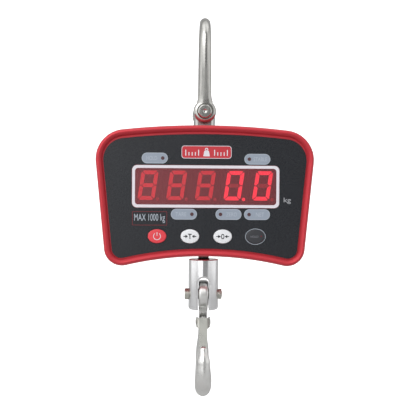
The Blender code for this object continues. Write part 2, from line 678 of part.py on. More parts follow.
def build_main_board(frame):
    """The board beside the cell, with a capacitor, a regulator and the two plugs."""
    board = box("main_board", (0.046, BOARD_THICKNESS, 0.092))
    x, z = -0.061, 0.004
    y = MAIN_BOARD_Y + BOARD_THICKNESS / 2
    front, back = y - 0.0002, y + 0.0002
    join(board, box("cell_plug", (0.010, 0.0080, 0.012)), frame, (-0.046, front - 0.0040, 0.020))
    join(board, box("regulator", (0.016, 0.0050, 0.012)), frame, (-0.066, front - 0.0025, -0.012))
    join(board, rod("capacitor", 0.0060, 0.014, "Y", 12), frame, (-0.062, front - 0.0070, 0.034))
    join(board, box("power_plug", (0.012, 0.0080, 0.010)), frame, (-0.054, back + 0.0040, 0.034))
    part(board, CIRCUIT, frame, (x, y, z))


def build_battery(frame):
    middle_y = BATTERY_BACK_Y - BATTERY_DEPTH / 2
    middle_z = BATTERY_LOW_Z + BATTERY_HEIGHT / 2
    battery = box("battery", (BATTERY_WIDTH, BATTERY_DEPTH, BATTERY_HEIGHT))
    top = BATTERY_LOW_Z + BATTERY_HEIGHT
    for side in (-1, 1):
        join(battery, box("terminal", (0.0010, 0.0063, 0.008)), frame,
             (BATTERY_X + side * 0.012, -0.016, top + 0.003))
    part(battery, BATTERY_CASE, frame, (BATTERY_X, middle_y, middle_z))

    sheet = 0.0012
    half = BATTERY_WIDTH / 2 + GAP
    front = middle_y - BATTERY_DEPTH / 2 - GAP
    strap = box("battery_strap", (2 * (half + sheet), REAR_WALL_Y - GAP - front + sheet, 0.016))
    centre_y = (REAR_WALL_Y - GAP + front - sheet) / 2
    cut(strap, box("strap_inside", (2 * half, 0.2, 0.02)), frame, (BATTERY_X, front + 0.1, 0.030))
    part(strap, PLATED, frame, (BATTERY_X, centre_y, 0.030))


def build_cell_bracket(frame):
    """A plate behind the cell, screwed to the two ribs of the front case."""
    back = CELL_SIZE[1] / 2 + GAP
    z = 0.0552
    plate = box("cell_bracket", (0.069, 0.0030, 0.006))
    for side, name in ((-1, "left_bracket_screw"), (1, "right_bracket_screw")):
        place_x = side * 0.031
        cut(plate, rod("bracket_hole", 0.0018, 0.02, "Y", 8), frame, (place_x, back, z))
        seat = back + 0.0030 + GAP
        screw = turned(name, [(0.0, seat + 0.0024), (0.0028, seat + 0.0024), (0.0028, seat), (0.0014, seat),
                              (0.0014, back - 0.0001), (0.0, back - 0.0001)], 10, "Y")
        part(screw, PLATED, frame, (place_x, 0.0, z))
    part(plate, PLATED, frame, (0.0, back + 0.0015, z))


def smooth_route(points, per_span):
    """Points along a curve that passes through the given ones."""
    route = [Vector(point) for point in points]
    ends = [2 * route[0] - route[1]] + route + [2 * route[-1] - route[-2]]
    result = []
    for before, start, end, after in zip(ends, ends[1:], ends[2:], ends[3:]):
        for step in range(per_span):
            t = step / per_span
            result.append(0.5 * ((2 * start) + (end - before) * t
                                 + (2 * before - 5 * start + 4 * end - after) * t * t
                                 + (3 * start - before - 3 * end + after) * t ** 3))
    return result + [route[-1]]


def build_leads(frame):
    """The cable from the cell and the lead from the battery, both held at their ends."""
    cell_side = -CELL_SIZE[0] / 2 - GAP
    plug_y = MAIN_BOARD_Y - 0.0036
    plug_back = MAIN_BOARD_Y + 0.0060
    cable = smooth_route(((cell_side, 0.0, 0.034), (cell_side - 0.004, 0.0, 0.034),
                          (-0.0340, 0.003, 0.031), (-0.0350, 0.009, 0.025),
                          (-0.0370, plug_y, 0.0205), (-0.0410 + GAP, plug_y, 0.020)), 3)
    part(tube("cell_cable", cable, [0.0018] * len(cable), 8), CABLE_GREY, frame)
    top = BATTERY_LOW_Z + BATTERY_HEIGHT
    lead = smooth_route(((BATTERY_X, -0.008, top + GAP), (BATTERY_X, -0.007, top + 0.0035),
                         (0.0510, 0.003, top + 0.0055), (0.0420, 0.016, top + 0.0055),
                         (0.0330, 0.026, top + 0.0040), (0.0260, 0.031, 0.0490),
                         (0.0100, 0.033, 0.0430), (-0.0150, 0.033, 0.0390),
                         (-0.0340, 0.028, 0.0355), (-0.0440, plug_back, 0.0340), (-0.0460, plug_back, 0.0340),
                         (-0.0480 + GAP, plug_back, 0.0340)), 3)
    part(tube("battery_lead", lead, [0.0016] * len(lead), 8), CABLE_GREY, frame)


# ------------------------------------------------------------------ clevis, hook and latch
def build_clevis(frame, stem_top):
    radius, chamfer, foot = CLEVIS_RADIUS, 0.0010, 0.0030
    profile = [(0.0, stem_top), (STEM_RADIUS, stem_top), (STEM_RADIUS, CLEVIS_TOP),
               (radius - chamfer, CLEVIS_TOP), (radius, CLEVIS_TOP - chamfer), (radius, CLEVIS_LOW + foot),
               (radius - 0.3 * foot, CLEVIS_LOW + 0.3 * foot), (radius - foot, CLEVIS_LOW), (0.0, CLEVIS_LOW)]
    clevis = turned("clevis", profile, 32)
    hub = SLOT_TOP - SLOT_HALF
    slot = [(SLOT_HALF, -0.04)] + arc((0.0, hub), SLOT_HALF, 0.0, math.pi, 12) + [(-SLOT_HALF, -0.04)]
    cut(clevis, slab("clevis_slot", slot, -0.03, 0.03), frame)
    cut(clevis, rod("clevis_bore", HOOK_PIN_RADIUS + GAP, 0.06, "X", 20), frame)
    for side in (-1, 1):
        cut(clevis, rod("spot_face", 0.0066, 0.01, "X", 20), frame, (side * (SPOT_FACE_X + 0.005), 0.0, 0.0))
    part(clevis, POLISHED, frame)

    seat, end, thread = SPOT_FACE_X + GAP, 0.0197, 0.0030
    profile = [(0.0, end), (thread, end), (thread, SPOT_FACE_X), (HOOK_PIN_RADIUS, SPOT_FACE_X),
               (HOOK_PIN_RADIUS, -seat), (0.0059, -seat), (0.0059, -end + 0.0008),
               (0.0051, -end), (0.0, -end)]
    pin = turned("hook_pin", profile, 20, "X")
    part(pin, PLATED, frame)
    nut = rod("hook_pin_nut", 0.0059, end - 0.0006 - seat, "X", 6)
    nut_x = (end - 0.0006 + seat) / 2
    cut(nut, rod("nut_bore", thread + GAP, 0.02, "X", 16), frame, (nut_x, 0.0, 0.0))
    part(nut, PLATED, frame, (nut_x, 0.0, 0.0))


def hook_station(angle):
    """Middle, depth direction, half depth and half width of the hook's section at an angle in degrees."""
    depth, width = ease(HOOK_DEPTH, angle), ease(HOOK_WIDTH, angle)
    neck = max(0.0, 1.0 - angle / 90.0)
    flare = max(0.0, (angle - 270.0) / (TIP_ANGLE - 270.0))
    radius = BOWL_INNER + depth + NECK_RISE * neck ** NECK_POWER + TIP_FLARE * flare ** 2
    turn = math.radians(angle)
    return Vector((0.0, radius * math.sin(turn), BOWL_Z + radius * math.cos(turn))), depth, width


def hook_ring(angle, shrink, sides):
    """One oval ring across the hook's centre line."""
    middle, depth, width = hook_station(angle)
    along = hook_station(angle + 1.0)[0] - hook_station(angle - 1.0)[0]
    across = Vector((0.0, along.z, -along.y)).normalized()
    ring_points = []
    for side in range(sides):
        turn = math.tau * side / sides
        ring_points.append(middle + across * (depth * shrink * math.cos(turn))
                           + Vector((width * shrink * math.sin(turn), 0.0, 0.0)))
    return ring_points


def build_hook(frame):
    rings = [hook_ring(angle, 1.0, 14) for angle in range(0, 91, 10)]
    rings += [hook_ring(angle, 1.0, 14) for angle in range(105, 300, 15)]
    rings += [hook_ring(TIP_ANGLE + past, shrink, 14) for past, shrink in ((0, 1.0), (5, 0.80), (8, 0.45))]
    hook = loft("hook", rings)
    half, edge = HOOK_EYE_HALF, 0.0012
    eye = turned("hook_eye", [(0.0, half), (HOOK_EYE_RADIUS - edge, half), (HOOK_EYE_RADIUS, half - edge),
                              (HOOK_EYE_RADIUS, edge - half), (HOOK_EYE_RADIUS - edge, -half), (0.0, -half)],
                 28, "X")
    join(hook, eye, frame)
    lug = rod("latch_lug", 0.0048, 0.0056, "X", 16)
    join(hook, lug, frame, (0.0, *LATCH_PIVOT))
    web = box("lug_web", (0.0056, 0.009, 0.0085))
    join(hook, web, frame, (0.0, LATCH_PIVOT[0] + 0.0045, LATCH_PIVOT[1]))
    cut(hook, rod("hook_bore", HOOK_PIN_RADIUS + 2 * GAP, 0.05, "X", 24), frame)
    cut(hook, rod("rivet_bore", RIVET_RADIUS + GAP, 0.05, "X", 12), frame, (0.0, *LATCH_PIVOT))
    part(hook, FORGED, frame)
    head = 0.0080
    seat = LATCH_EAR_X + LATCH_SHEET + GAP
    rivet = turned("latch_rivet", [(0.0, head), (0.0030, head), (0.0038, seat + 0.0002), (0.0038, seat),
                                   (RIVET_RADIUS, seat), (RIVET_RADIUS, -seat), (0.0038, -seat),
                                   (0.0038, -seat - 0.0002), (0.0030, -head), (0.0, -head)], 14, "X")
    part(rivet, PLATED, frame, (0.0, *LATCH_PIVOT))


def latch_lie():
    """Length of the latch and how far it leans forward, so that its toe meets the hook's tip."""
    turn = math.radians(LATCH_TOE_ANGLE)
    toe = Vector((LATCH_TOE_RADIUS * math.sin(turn), BOWL_Z + LATCH_TOE_RADIUS * math.cos(turn)))
    reach = toe - Vector(LATCH_PIVOT)
    lean = math.atan2(-reach.x, -reach.y) - math.asin(LATCH_OFFSET / reach.length)
    return math.sqrt(reach.length_squared - LATCH_OFFSET ** 2), lean


def build_latch(frame, length):
    """A folded sheet: a tapering plate in front of the pivot and an ear on each side of the hook."""
    outer = LATCH_EAR_X + LATCH_SHEET
    front = -LATCH_OFFSET - LATCH_SHEET / 2
    outline = [(outer, 0.002), (outer, -0.010), (0.0040, -length + 0.002), (0.0030, -length),
               (-0.0030, -length), (-0.0040, -length + 0.002), (-outer, -0.010), (-outer, 0.002)]
    latch = slab("latch", outline, front, front + LATCH_SHEET)
    side_shape = [(0.0, 0.0055), (front + 0.0002, 0.0020), (front + 0.0002, -0.0180), (0.0010, -0.0080)]
    for side in (-1, 1):
        ear_x = side * (LATCH_EAR_X + LATCH_SHEET / 2)
        ear = loft("latch_ear", [[(x, y, z) for y, z in side_shape]
                                 for x in (-LATCH_SHEET / 2, LATCH_SHEET / 2)])
        join(latch, ear, frame, (ear_x, 0.0, 0.0))
        join(latch, rod("ear_disc", 0.0055, LATCH_SHEET, "X", 18), frame, (ear_x, 0.0, 0.0))
    cut(latch, rod("latch_bore", RIVET_RADIUS + GAP, 0.04, "X", 14), frame)
    part(latch, PLATED, frame)


def build_spring(frame):
    """A torsion spring round the rivet, between the lug and one ear. Its leg lies inside the plate."""
    wire, coil = 0.00042, 0.0034
    start_x, turns, pitch = 0.0036, 1.5, 0.00100
    points = []
    for step in range(19):
        turn = math.tau * turns * step / 18
        points.append((start_x + pitch * turns * step / 18, coil * math.cos(turn), coil * math.sin(turn)))
    end_x = points[-1][0]
    points.append((end_x, -coil - 0.0001, -0.0035))
    points.append((end_x, -coil - 0.0005, -0.0120))
    part(tube("latch_spring", points, [wire] * len(points), 6), POLISHED, frame)


# ------------------------------------------------------------------ the whole scale
def main():
    hang = new_frame("shackle_frame", (0.0, 0.0, 0.0))
    scale = new_frame("shackle_hinge", (0.0, 0.0, PIN_Z), hang)
    case = new_frame("case_frame", (0.0, 0.0, CENTRE_Z - PIN_Z), scale)
    swivel = new_frame("hook_swivel", (0.0, 0.0, HOOK_PIN_Z - PIN_Z), scale)
    hook = new_frame("hook_hinge", (0.0, 0.0, 0.0), swivel)
    length, lean = latch_lie()
    latch = new_frame("latch_hinge", (0.0, *LATCH_PIVOT), hook, (-lean, 0.0, 0.0))

    build_shackle(hang)
    build_eye(scale)
    build_cell(scale)
    stem_top = build_swivel_bearing(scale, swivel)
    build_seals(case)
    build_front_case(case)
    build_rear_case(case)
    build_case_fittings(case)
    build_panel(case)
    build_display(case)
    build_keys(case)
    build_main_board(case)
    build_battery(case)
    build_cell_bracket(case)
    build_leads(case)
    build_clevis(swivel, stem_top)
    build_hook(hook)
    build_latch(latch, length)
    build_spring(latch)


main()
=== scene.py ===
"""The looks of a hanging crane scale: forged shackle, red cast housing, lit display, clevis, hook and latch.

Metres, +Z up. The display faces -Y and +X is to its right. The origin is the point of the shackle's bow
that rests on the crane, so every level below it is negative.
"""

from __future__ import annotations

import logging
import math
from dataclasses import dataclass, field
from enum import Enum
from typing import Any, Iterable, Sequence

import bmesh
import bpy
import numpy as np
from mathutils import Matrix, Vector


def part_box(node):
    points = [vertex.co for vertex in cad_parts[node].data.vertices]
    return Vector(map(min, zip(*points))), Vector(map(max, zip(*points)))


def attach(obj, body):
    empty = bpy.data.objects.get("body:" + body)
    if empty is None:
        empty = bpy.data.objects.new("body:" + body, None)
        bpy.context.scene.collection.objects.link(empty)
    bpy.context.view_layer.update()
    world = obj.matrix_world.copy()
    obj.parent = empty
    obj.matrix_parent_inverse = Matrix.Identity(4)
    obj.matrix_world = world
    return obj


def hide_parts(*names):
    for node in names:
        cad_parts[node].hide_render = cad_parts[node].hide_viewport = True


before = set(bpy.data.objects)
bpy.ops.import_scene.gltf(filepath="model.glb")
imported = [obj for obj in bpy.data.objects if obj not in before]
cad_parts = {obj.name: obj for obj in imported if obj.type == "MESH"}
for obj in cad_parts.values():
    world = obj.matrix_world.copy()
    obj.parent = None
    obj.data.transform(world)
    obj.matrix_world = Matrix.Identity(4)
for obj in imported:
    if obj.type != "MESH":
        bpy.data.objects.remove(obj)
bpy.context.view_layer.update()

LOG = logging.getLogger("crane_scale")
Colour = tuple[float, float, float]
Pair = tuple[float, float]

CLEARANCE = 0.0003        # between two pieces that rest on each other
MERGE = 0.0000002         # points closer than this are one point
SMOOTH_BELOW = math.radians(32)


class Body(Enum):
    """The moving bodies of the scale."""

    SHACKLE = "shackle"
    SCALE = "scale"
    SWIVEL = "swivel"
    HOOK = "hook"
    LATCH = "latch"


# ------------------------------------------------------------------ surfaces
@dataclass
class Skin:
    """The points and the four-sided faces of a surface, as whole arrays."""

    points: np.ndarray
    faces: np.ndarray

    def moved(self, shift: Sequence[float]) -> Skin:
        """The same surface, shifted."""
        return Skin(self.points + np.asarray(shift, float), self.faces)

    def turned_by(self, matrix: Matrix) -> Skin:
        """The same surface, turned and moved by a matrix."""
        rotation = np.array(matrix.to_3x3())
        return Skin(self.points @ rotation.T + np.array(matrix.translation), self.faces)


def together(skins: Iterable[Skin]) -> Skin:
    """Several surfaces as one set of arrays, each face list raised by the points before it."""
    skins = list(skins)
    starts = np.cumsum([0] + [len(skin.points) for skin in skins[:-1]])
    points = np.concatenate([skin.points for skin in skins])
    return Skin(points, np.concatenate([skin.faces + start for skin, start in zip(skins, starts)]))


def grid_skin(points: np.ndarray, ring: bool = True, loop: bool = False, cap: bool = True) -> Skin:
    """A skin over a grid: the face at row r and column c joins the points (r, c) to (r + 1, c + 1).

    Args:
        points: rows x columns x 3.
        ring: each row closes on itself.
        loop: the last row joins the first.
        cap: each end row closes to its own middle point.

    Returns:
        The surface. With a ring and a cap or a loop, it is closed.
    """
    if cap:
        middles = points[[0, -1]].mean(axis=1, keepdims=True).repeat(points.shape[1], axis=1)
        points = np.concatenate((middles[:1], points, middles[1:]))
    rows, columns = points.shape[:2]
    row = np.arange(rows if loop else rows - 1)[:, None]
    column = np.arange(columns if ring else columns - 1)[None, :]
    after_row, after_column = (row + 1) % rows, (column + 1) % columns
    corners = (row * columns + column, row * columns + after_column,
               after_row * columns + after_column, after_row * columns + column)
    return Skin(points.reshape(-1, 3), np.stack(corners, axis=-1).reshape(-1, 4))


def along_axis(across: np.ndarray, up: np.ndarray, along: np.ndarray, axis: str) -> np.ndarray:
    """Points from two coordinates across an axis and one along it."""
    order = {"X": (along, across, up), "Y": (across, along, up), "Z": (across, up, along)}[axis]
    return np.stack(np.broadcast_arrays(*order), axis=-1)


def hexagon(turn: np.ndarray) -> np.ndarray:
    """A hexagon's radius over its corners': cos 30 over the cosine of the angle to the nearest flat."""
    sixth = math.pi / 3
    return math.cos(sixth / 2) / np.cos(np.mod(turn, sixth) - sixth / 2)


def revolved(profile: Any, axis: str, centre: Sequence[float] = (0, 0, 0), steps: int = 96,
             loop: bool = False, hexagonal: Sequence[int] = ()) -> Skin:
    """A surface of revolution: each profile point goes round the axis at radius cos t, radius sin t.

    Args:
        profile: (radius, height along the axis) pairs.
        axis: X, Y or Z.
        centre: where the axis's zero is.
        steps: points round the axis.
        loop: the profile is a closed line that doesn't touch the axis.
        hexagonal: indexes of the profile points whose ring is a hexagon.
    """
    profile = np.asarray(profile, float)
    turn = np.linspace(0, math.tau, steps, endpoint=False)
    radius = profile[:, :1] * np.ones_like(turn)
    if len(hexagonal):
        radius[list(hexagonal)] *= hexagon(turn)
    points = along_axis(radius * np.cos(turn), radius * np.sin(turn), profile[:, 1:], axis)
    return grid_skin(points + np.asarray(centre, float), loop=loop, cap=not loop)


def rounded(corners: Any, radius: Any, steps: int = 5, closed: bool = False) -> np.ndarray:
    """A line of corners, each turned into a quadratic arc that touches both of its sides.

    Args:
        corners: the points, in two dimensions.
        radius: one radius, or one for each corner.
        steps: steps in each arc.
        closed: the last point joins the first.
    """
    points = np.asarray(corners, float)
    radii = np.broadcast_to(np.asarray(radius, float), len(points))
    share = np.linspace(0, 1, steps + 1)[:, None]
    result = []
    for index, (here, size) in enumerate(zip(points, radii)):
        before, after = points[index - 1] - here, points[(index + 1) % len(points)] - here
        if size <= 0 or (not closed and index in (0, len(points) - 1)):
            result.append(here[None])
            continue
        lengths = np.linalg.norm(before), np.linalg.norm(after)
        before, after = before / lengths[0], after / lengths[1]
        half = math.acos(np.clip(before @ after, -0.9999, 0.9999)) / 2
        reach = min(size / math.tan(half), 0.49 * lengths[0], 0.49 * lengths[1])
        start, end = here + before * reach, here + after * reach
        result.append((1 - share) ** 2 * start + 2 * share * (1 - share) * here + share ** 2 * end)
    return np.concatenate(result)


def eased(knots: Sequence[Pair], at: np.ndarray) -> np.ndarray:
    """Values that go from knot to knot by 3s squared minus 2s cubed, where s is the share passed."""
    places, values = np.array(knots, float).T
    span = np.clip(np.searchsorted(places, at, side="right") - 1, 0, len(places) - 2)
    share = np.clip((at - places[span]) / (places[span + 1] - places[span]), 0, 1)
    return values[span] + (values[span + 1] - values[span]) * share ** 2 * (3 - 2 * share)


def plane_sweep(middles: np.ndarray, depth: np.ndarray, width: np.ndarray, sides: int = 48,
                power: Any = 2.0, ridge: float = 0.0) -> Skin:
    """Oval rings along a line in the YZ plane: middle + across * depth * C + X * width * S.

    C and S are the cosine and sine of the place round the ring, raised to 2 / power with their signs kept,
    so that a power of 2 gives an ellipse and a higher one a rounded bar. The ridge is a seam where S is 0.

    Args:
        middles: rows x 2, as (y, z).
        depth: half the size in the plane, for each row.
        width: half the size along X, for each row.
        sides: points in a ring.
        power: the squareness, for each row.
        ridge: the height of the seam.
    """
    along = np.gradient(middles, axis=0)
    across = np.stack((along[:, 1], -along[:, 0]), axis=-1) / np.linalg.norm(along, axis=1, keepdims=True)
    turn = np.linspace(0, math.tau, sides, endpoint=False)[None, :]
    bend = 2.0 / np.broadcast_to(np.asarray(power, float), len(middles))[:, None]
    cosine = np.sign(np.cos(turn)) * np.abs(np.cos(turn)) ** bend
    sine = np.sign(np.sin(turn)) * np.abs(np.sin(turn)) ** bend
    seam = ridge * np.exp(-(np.sin(turn) / 0.09) ** 2) * np.sign(np.cos(turn))
    reach = depth[:, None] * cosine + seam * (depth[:, None] / depth.max())
    points = np.stack((width[:, None] * sine, middles[:, :1] + across[:, :1] * reach,
                       middles[:, 1:] + across[:, 1:] * reach), axis=-1)
    return grid_skin(points)


def wire(path: np.ndarray, radius: float, sides: int = 16) -> Skin:
    """A round bar along a path that never runs along X: each ring stands on the tangent's two normals."""
    along = np.gradient(path, axis=0)
    along /= np.linalg.norm(along, axis=1, keepdims=True)
    first = np.cross(along, (1.0, 0.0, 0.0))
    first /= np.linalg.norm(first, axis=1, keepdims=True)
    second = np.cross(along, first)
    turn = np.linspace(0, math.tau, sides, endpoint=False)[None, :, None]
    return grid_skin(path[:, None]
                     + radius * (np.cos(turn) * first[:, None] + np.sin(turn) * second[:, None]))


def plate(outline: np.ndarray, front: float, back: float, edge: float = 0.0) -> Skin:
    """A flat piece between two depths: a front ring, an edge as deep as it is wide, and a back ring.

    Args:
        outline: (x, z) points round a shape that its middle point sees whole.
        front: the front face's y.
        back: the back face's y.
        edge: how far the front edge is eased.
    """
    middle = outline.mean(axis=0)
    away = outline - middle
    inner = middle + away * (1 - edge / np.linalg.norm(away, axis=1, keepdims=True))
    levels = ((inner, front), (outline, front + edge), (outline, back))
    return grid_skin(np.stack([np.insert(line, 1, y, axis=1) for line, y in levels]))


def band(outer: np.ndarray, inner: np.ndarray, front: float, back: float) -> Skin:
    """A flat ring between two outlines with the same number of points."""
    levels = ((outer, front), (outer, back), (inner, back), (inner, front))
    return grid_skin(np.stack([np.insert(line, 1, y, axis=1) for line, y in levels]), loop=True, cap=False)


def ellipse(half: Pair, centre: Pair = (0.0, 0.0), steps: int = 96) -> np.ndarray:
    """(x, z) points round an ellipse: half width * cos t, half height * sin t."""
    turn = np.linspace(0, math.tau, steps, endpoint=False)
    return np.stack((centre[0] + half[0] * np.cos(turn), centre[1] + half[1] * np.sin(turn)), axis=-1)


def rounded_rectangle(size: Pair, radius: float, centre: Pair = (0.0, 0.0), steps: int = 12) -> np.ndarray:
    """(x, z) points round a rectangle whose corners are quarter circles."""
    turn = np.linspace(0, math.pi / 2, steps + 1)
    hubs = np.array(((1, 1), (-1, 1), (-1, -1), (1, -1)), float) * (np.array(size) / 2 - radius)
    quarters = [hub + radius * np.stack((np.cos(turn + math.pi / 2 * step),
                                         np.sin(turn + math.pi / 2 * step)), -1)
                for step, hub in enumerate(hubs)]
    return np.concatenate(quarters) + np.array(centre)


def block(low: Sequence[float], high: Sequence[float], edge: float = 0.0) -> Skin:
    """A box between two corners, its upright outline seen along Y rounded by the edge."""
    size = (high[0] - low[0], high[2] - low[2])
    centre = ((high[0] + low[0]) / 2, (high[2] + low[2]) / 2)
    return plate(rounded_rectangle(size, max(edge, 0.00005), centre, 4), low[1], high[1])


def make_object(name: str, skin: Skin) -> bpy.types.Object:
    """The surface as an object at the origin: points merged, seams closed and faces turned outwards."""
    mesh = bpy.data.meshes.new(name)
    mesh.vertices.add(len(skin.points))
    mesh.vertices.foreach_set("co", skin.points.astype(np.float32).ravel())
    mesh.loops.add(skin.faces.size)
    mesh.loops.foreach_set("vertex_index", skin.faces.astype(np.int32).ravel())
    mesh.polygons.add(len(skin.faces))
    mesh.polygons.foreach_set("loop_start", np.arange(len(skin.faces), dtype=np.int32) * 4)
    mesh.update(calc_edges=True)
    item = bpy.data.objects.new(name, mesh)
    bpy.context.scene.collection.objects.link(item)
    tidy_mesh(item)
    return item


def tidy_mesh(item: bpy.types.Object, recalculate: bool = True) -> None:
    """Merges doubled points, drops flat faces and marks the sharp edges."""
    work = bmesh.new()
    work.from_mesh(item.data)
    bmesh.ops.remove_doubles(work, verts=work.verts, dist=MERGE)
    bmesh.ops.dissolve_degenerate(work, edges=work.edges, dist=MERGE)
    if recalculate:
        bmesh.ops.recalc_face_normals(work, faces=work.faces)
    work.to_mesh(item.data)
    work.free()
    item.data.shade_smooth()
    item.data.set_sharp_from_angle(angle=SMOOTH_BELOW)


def settle(item: bpy.types.Object) -> bpy.types.Object:
    """Puts what the modifiers make into the object's own mesh."""
    solid = item.evaluated_get(bpy.context.evaluated_depsgraph_get())
    made = bpy.data.meshes.new_from_object(solid)
    item.modifiers.clear()
    item.data = made
    return item


def combine(item: bpy.types.Object, tool: Skin, operation: str) -> None:
    """Joins a surface on to the object or takes it out: UNION or DIFFERENCE."""
    cutter = make_object(f"{item.name}_tool", tool)
    step = item.modifiers.new("combine", "BOOLEAN")
    step.operation = operation
    step.solver = "EXACT"
    step.object = cutter
    bpy.context.view_layer.update()
    settle(item)
    bpy.data.objects.remove(cutter, do_unlink=True)
    tidy_mesh(item, recalculate=False)


# ------------------------------------------------------------------ finishes
class NodeSheet:
    """A material's nodes, with short calls for those that the finishes share."""

    def __init__(self, name: str) -> None:
        """Starts a material with one Principled shader."""
        self.material = bpy.data.materials.new(name)
        self.material.use_nodes = True
        self.tree = self.material.node_tree
        self.shader = self.tree.nodes["Principled BSDF"]

    def add(self, kind: str, inputs: dict[Any, Any] | None = None, **settings: Any) -> bpy.types.Node:
        """A node of a kind, with its settings and with inputs set to values or linked to sockets."""
        node = self.tree.nodes.new(kind)
        for key, value in settings.items():
            setattr(node, key, value)
        for key, value in (inputs or {}).items():
            if isinstance(value, bpy.types.NodeSocket):
                self.tree.links.new(value, node.inputs[key])
            else:
                node.inputs[key].default_value = value
        return node

    def place(self, stretch: Sequence[float] = (1, 1, 1),
              turn: Sequence[float] = (0, 0, 0)) -> bpy.types.NodeSocket:
        """Object coordinates, turned and stretched."""
        source = self.add("ShaderNodeTexCoord").outputs["Object"]
        if tuple(stretch) == (1, 1, 1) and tuple(turn) == (0, 0, 0):
            return source
        inputs = {"Vector": source, "Scale": stretch, "Rotation": turn}
        return self.add("ShaderNodeMapping", inputs).outputs["Vector"]

    def noise(self, scale: float, detail: float = 2.0,
              stretch: Sequence[float] = (1, 1, 1)) -> bpy.types.NodeSocket:
        """Soft noise from 0 to 1, with so many features in a metre."""
        inputs = {"Vector": self.place(stretch), "Scale": scale, "Detail": detail}
        return self.add("ShaderNodeTexNoise", inputs).outputs["Fac"]

    def spread(self, value: bpy.types.NodeSocket, low: float, high: float, start: float = 0.3,
               end: float = 0.7) -> bpy.types.NodeSocket:
        """A value between start and end, stretched to low and high."""
        inputs = {"Value": value, "From Min": start, "From Max": end, "To Min": low, "To Max": high}
        return self.add("ShaderNodeMapRange", inputs).outputs["Result"]

    def blend(self, share: bpy.types.NodeSocket, first: Any, second: Any) -> bpy.types.NodeSocket:
        """A colour between two colours."""
        node = self.add("ShaderNodeMix", data_type="RGBA")
        for key, value in ((0, share), (6, first), (7, second)):
            if isinstance(value, bpy.types.NodeSocket):
                self.tree.links.new(value, node.inputs[key])
            else:
                node.inputs[key].default_value = value if key == 0 else (*value, 1.0)
        return node.outputs[2]

    def calculate(self, operation: str, first: Any, second: Any) -> bpy.types.NodeSocket:
        """One sum of two values."""
        return self.add("ShaderNodeMath", {0: first, 1: second}, operation=operation).outputs[0]

    def relief(self, height: bpy.types.NodeSocket, depth: float, strength: float = 1.0) -> None:
        """Raises the surface by a height from 0 to 1 times a depth in metres."""
        inputs = {"Height": height, "Distance": depth, "Strength": strength}
        self.connect("Normal", self.add("ShaderNodeBump", inputs).outputs["Normal"])

    def connect(self, name: str, value: bpy.types.NodeSocket) -> None:
        """Links a socket to the shader."""
        self.tree.links.new(value, self.shader.inputs[name])

    def number(self, **values: float) -> None:
        """Sets the shader's own numbers, with spaces written as underscores."""
        for key, value in values.items():
            self.shader.inputs[key.replace("_", " ")].default_value = value


def scaled(colour: Colour, share: float) -> Colour:
    """The colour, lighter or darker."""
    return tuple(channel * share for channel in colour)


@dataclass(frozen=True)
class Finish:
    """What every finish has: its name, the slot it stands for and its main colour."""

    name: str
    slot: str
    colour: Colour

    def material(self) -> bpy.types.Material:
        """The finish's material, made once."""
        return bpy.data.materials.get(self.name) or self.paint(NodeSheet(self.name))

    def paint(self, sheet: NodeSheet) -> bpy.types.Material:
        """Builds the nodes. Each kind of finish has its own."""
        raise NotImplementedError


@dataclass(frozen=True)
class Metal(Finish):
    """Bare or plated metal with its working marks: fine grain along one direction, and soft stains."""

    roughness: Pair = (0.16, 0.26)
    grain: tuple[float, float, float] = (1.0, 1.0, 1.0)
    grain_scale: float = 700.0
    grain_depth: float = 0.000012
    stain: float = 0.14
    lumps: float = 0.0

    def paint(self, sheet: NodeSheet) -> bpy.types.Material:
        """Grain drives the roughness and a slight relief, and wide noise the tone."""
        grain = sheet.noise(self.grain_scale, 3.0, self.grain)
        cloud = sheet.noise(70.0, 3.0)
        sheet.connect("Base Color", sheet.blend(sheet.spread(cloud, 0.0, 1.0),
                                                scaled(self.colour, 1 - self.stain), self.colour))
        mixed = sheet.calculate("ADD", sheet.spread(grain, 0.0, 0.6), sheet.spread(cloud, 0.0, 0.4))
        sheet.connect("Roughness", sheet.spread(mixed, *self.roughness, 0.0, 1.0))
        sheet.number(Metallic=1.0)
        height = grain
        if self.lumps > 0:
            lump = sheet.calculate("MULTIPLY", sheet.noise(230.0, 1.0), self.lumps)
            height = sheet.calculate("ADD", lump, grain)
        sheet.relief(height, self.grain_depth)
        return sheet.material


@dataclass(frozen=True)
class Enamel(Finish):
    """Sprayed enamel: a faint orange peel, a glossy top and slightly uneven colour."""

    roughness: Pair = (0.24, 0.34)
    peel: float = 0.000018
    coat: float = 0.35

    def paint(self, sheet: NodeSheet) -> bpy.types.Material:
        """Small noise gives the peel, wide noise the tone, and fine specks the dust in the paint."""
        cloud = sheet.noise(45.0, 2.0)
        speck = sheet.noise(2600.0, 1.0)
        tone = sheet.blend(sheet.spread(cloud, 0.0, 1.0), scaled(self.colour, 0.90), self.colour)
        worn = sheet.spread(speck, 0.0, 0.16, 0.60, 0.74)
        sheet.connect("Base Color", sheet.blend(worn, tone, scaled(self.colour, 1.5)))
        sheet.connect("Roughness", sheet.spread(sheet.noise(320.0, 2.0), *self.roughness))
        sheet.number(Coat_Weight=self.coat, Coat_Roughness=0.12, Specular_IOR_Level=0.45)
        sheet.relief(sheet.noise(520.0, 2.0), self.peel)
        return sheet.material


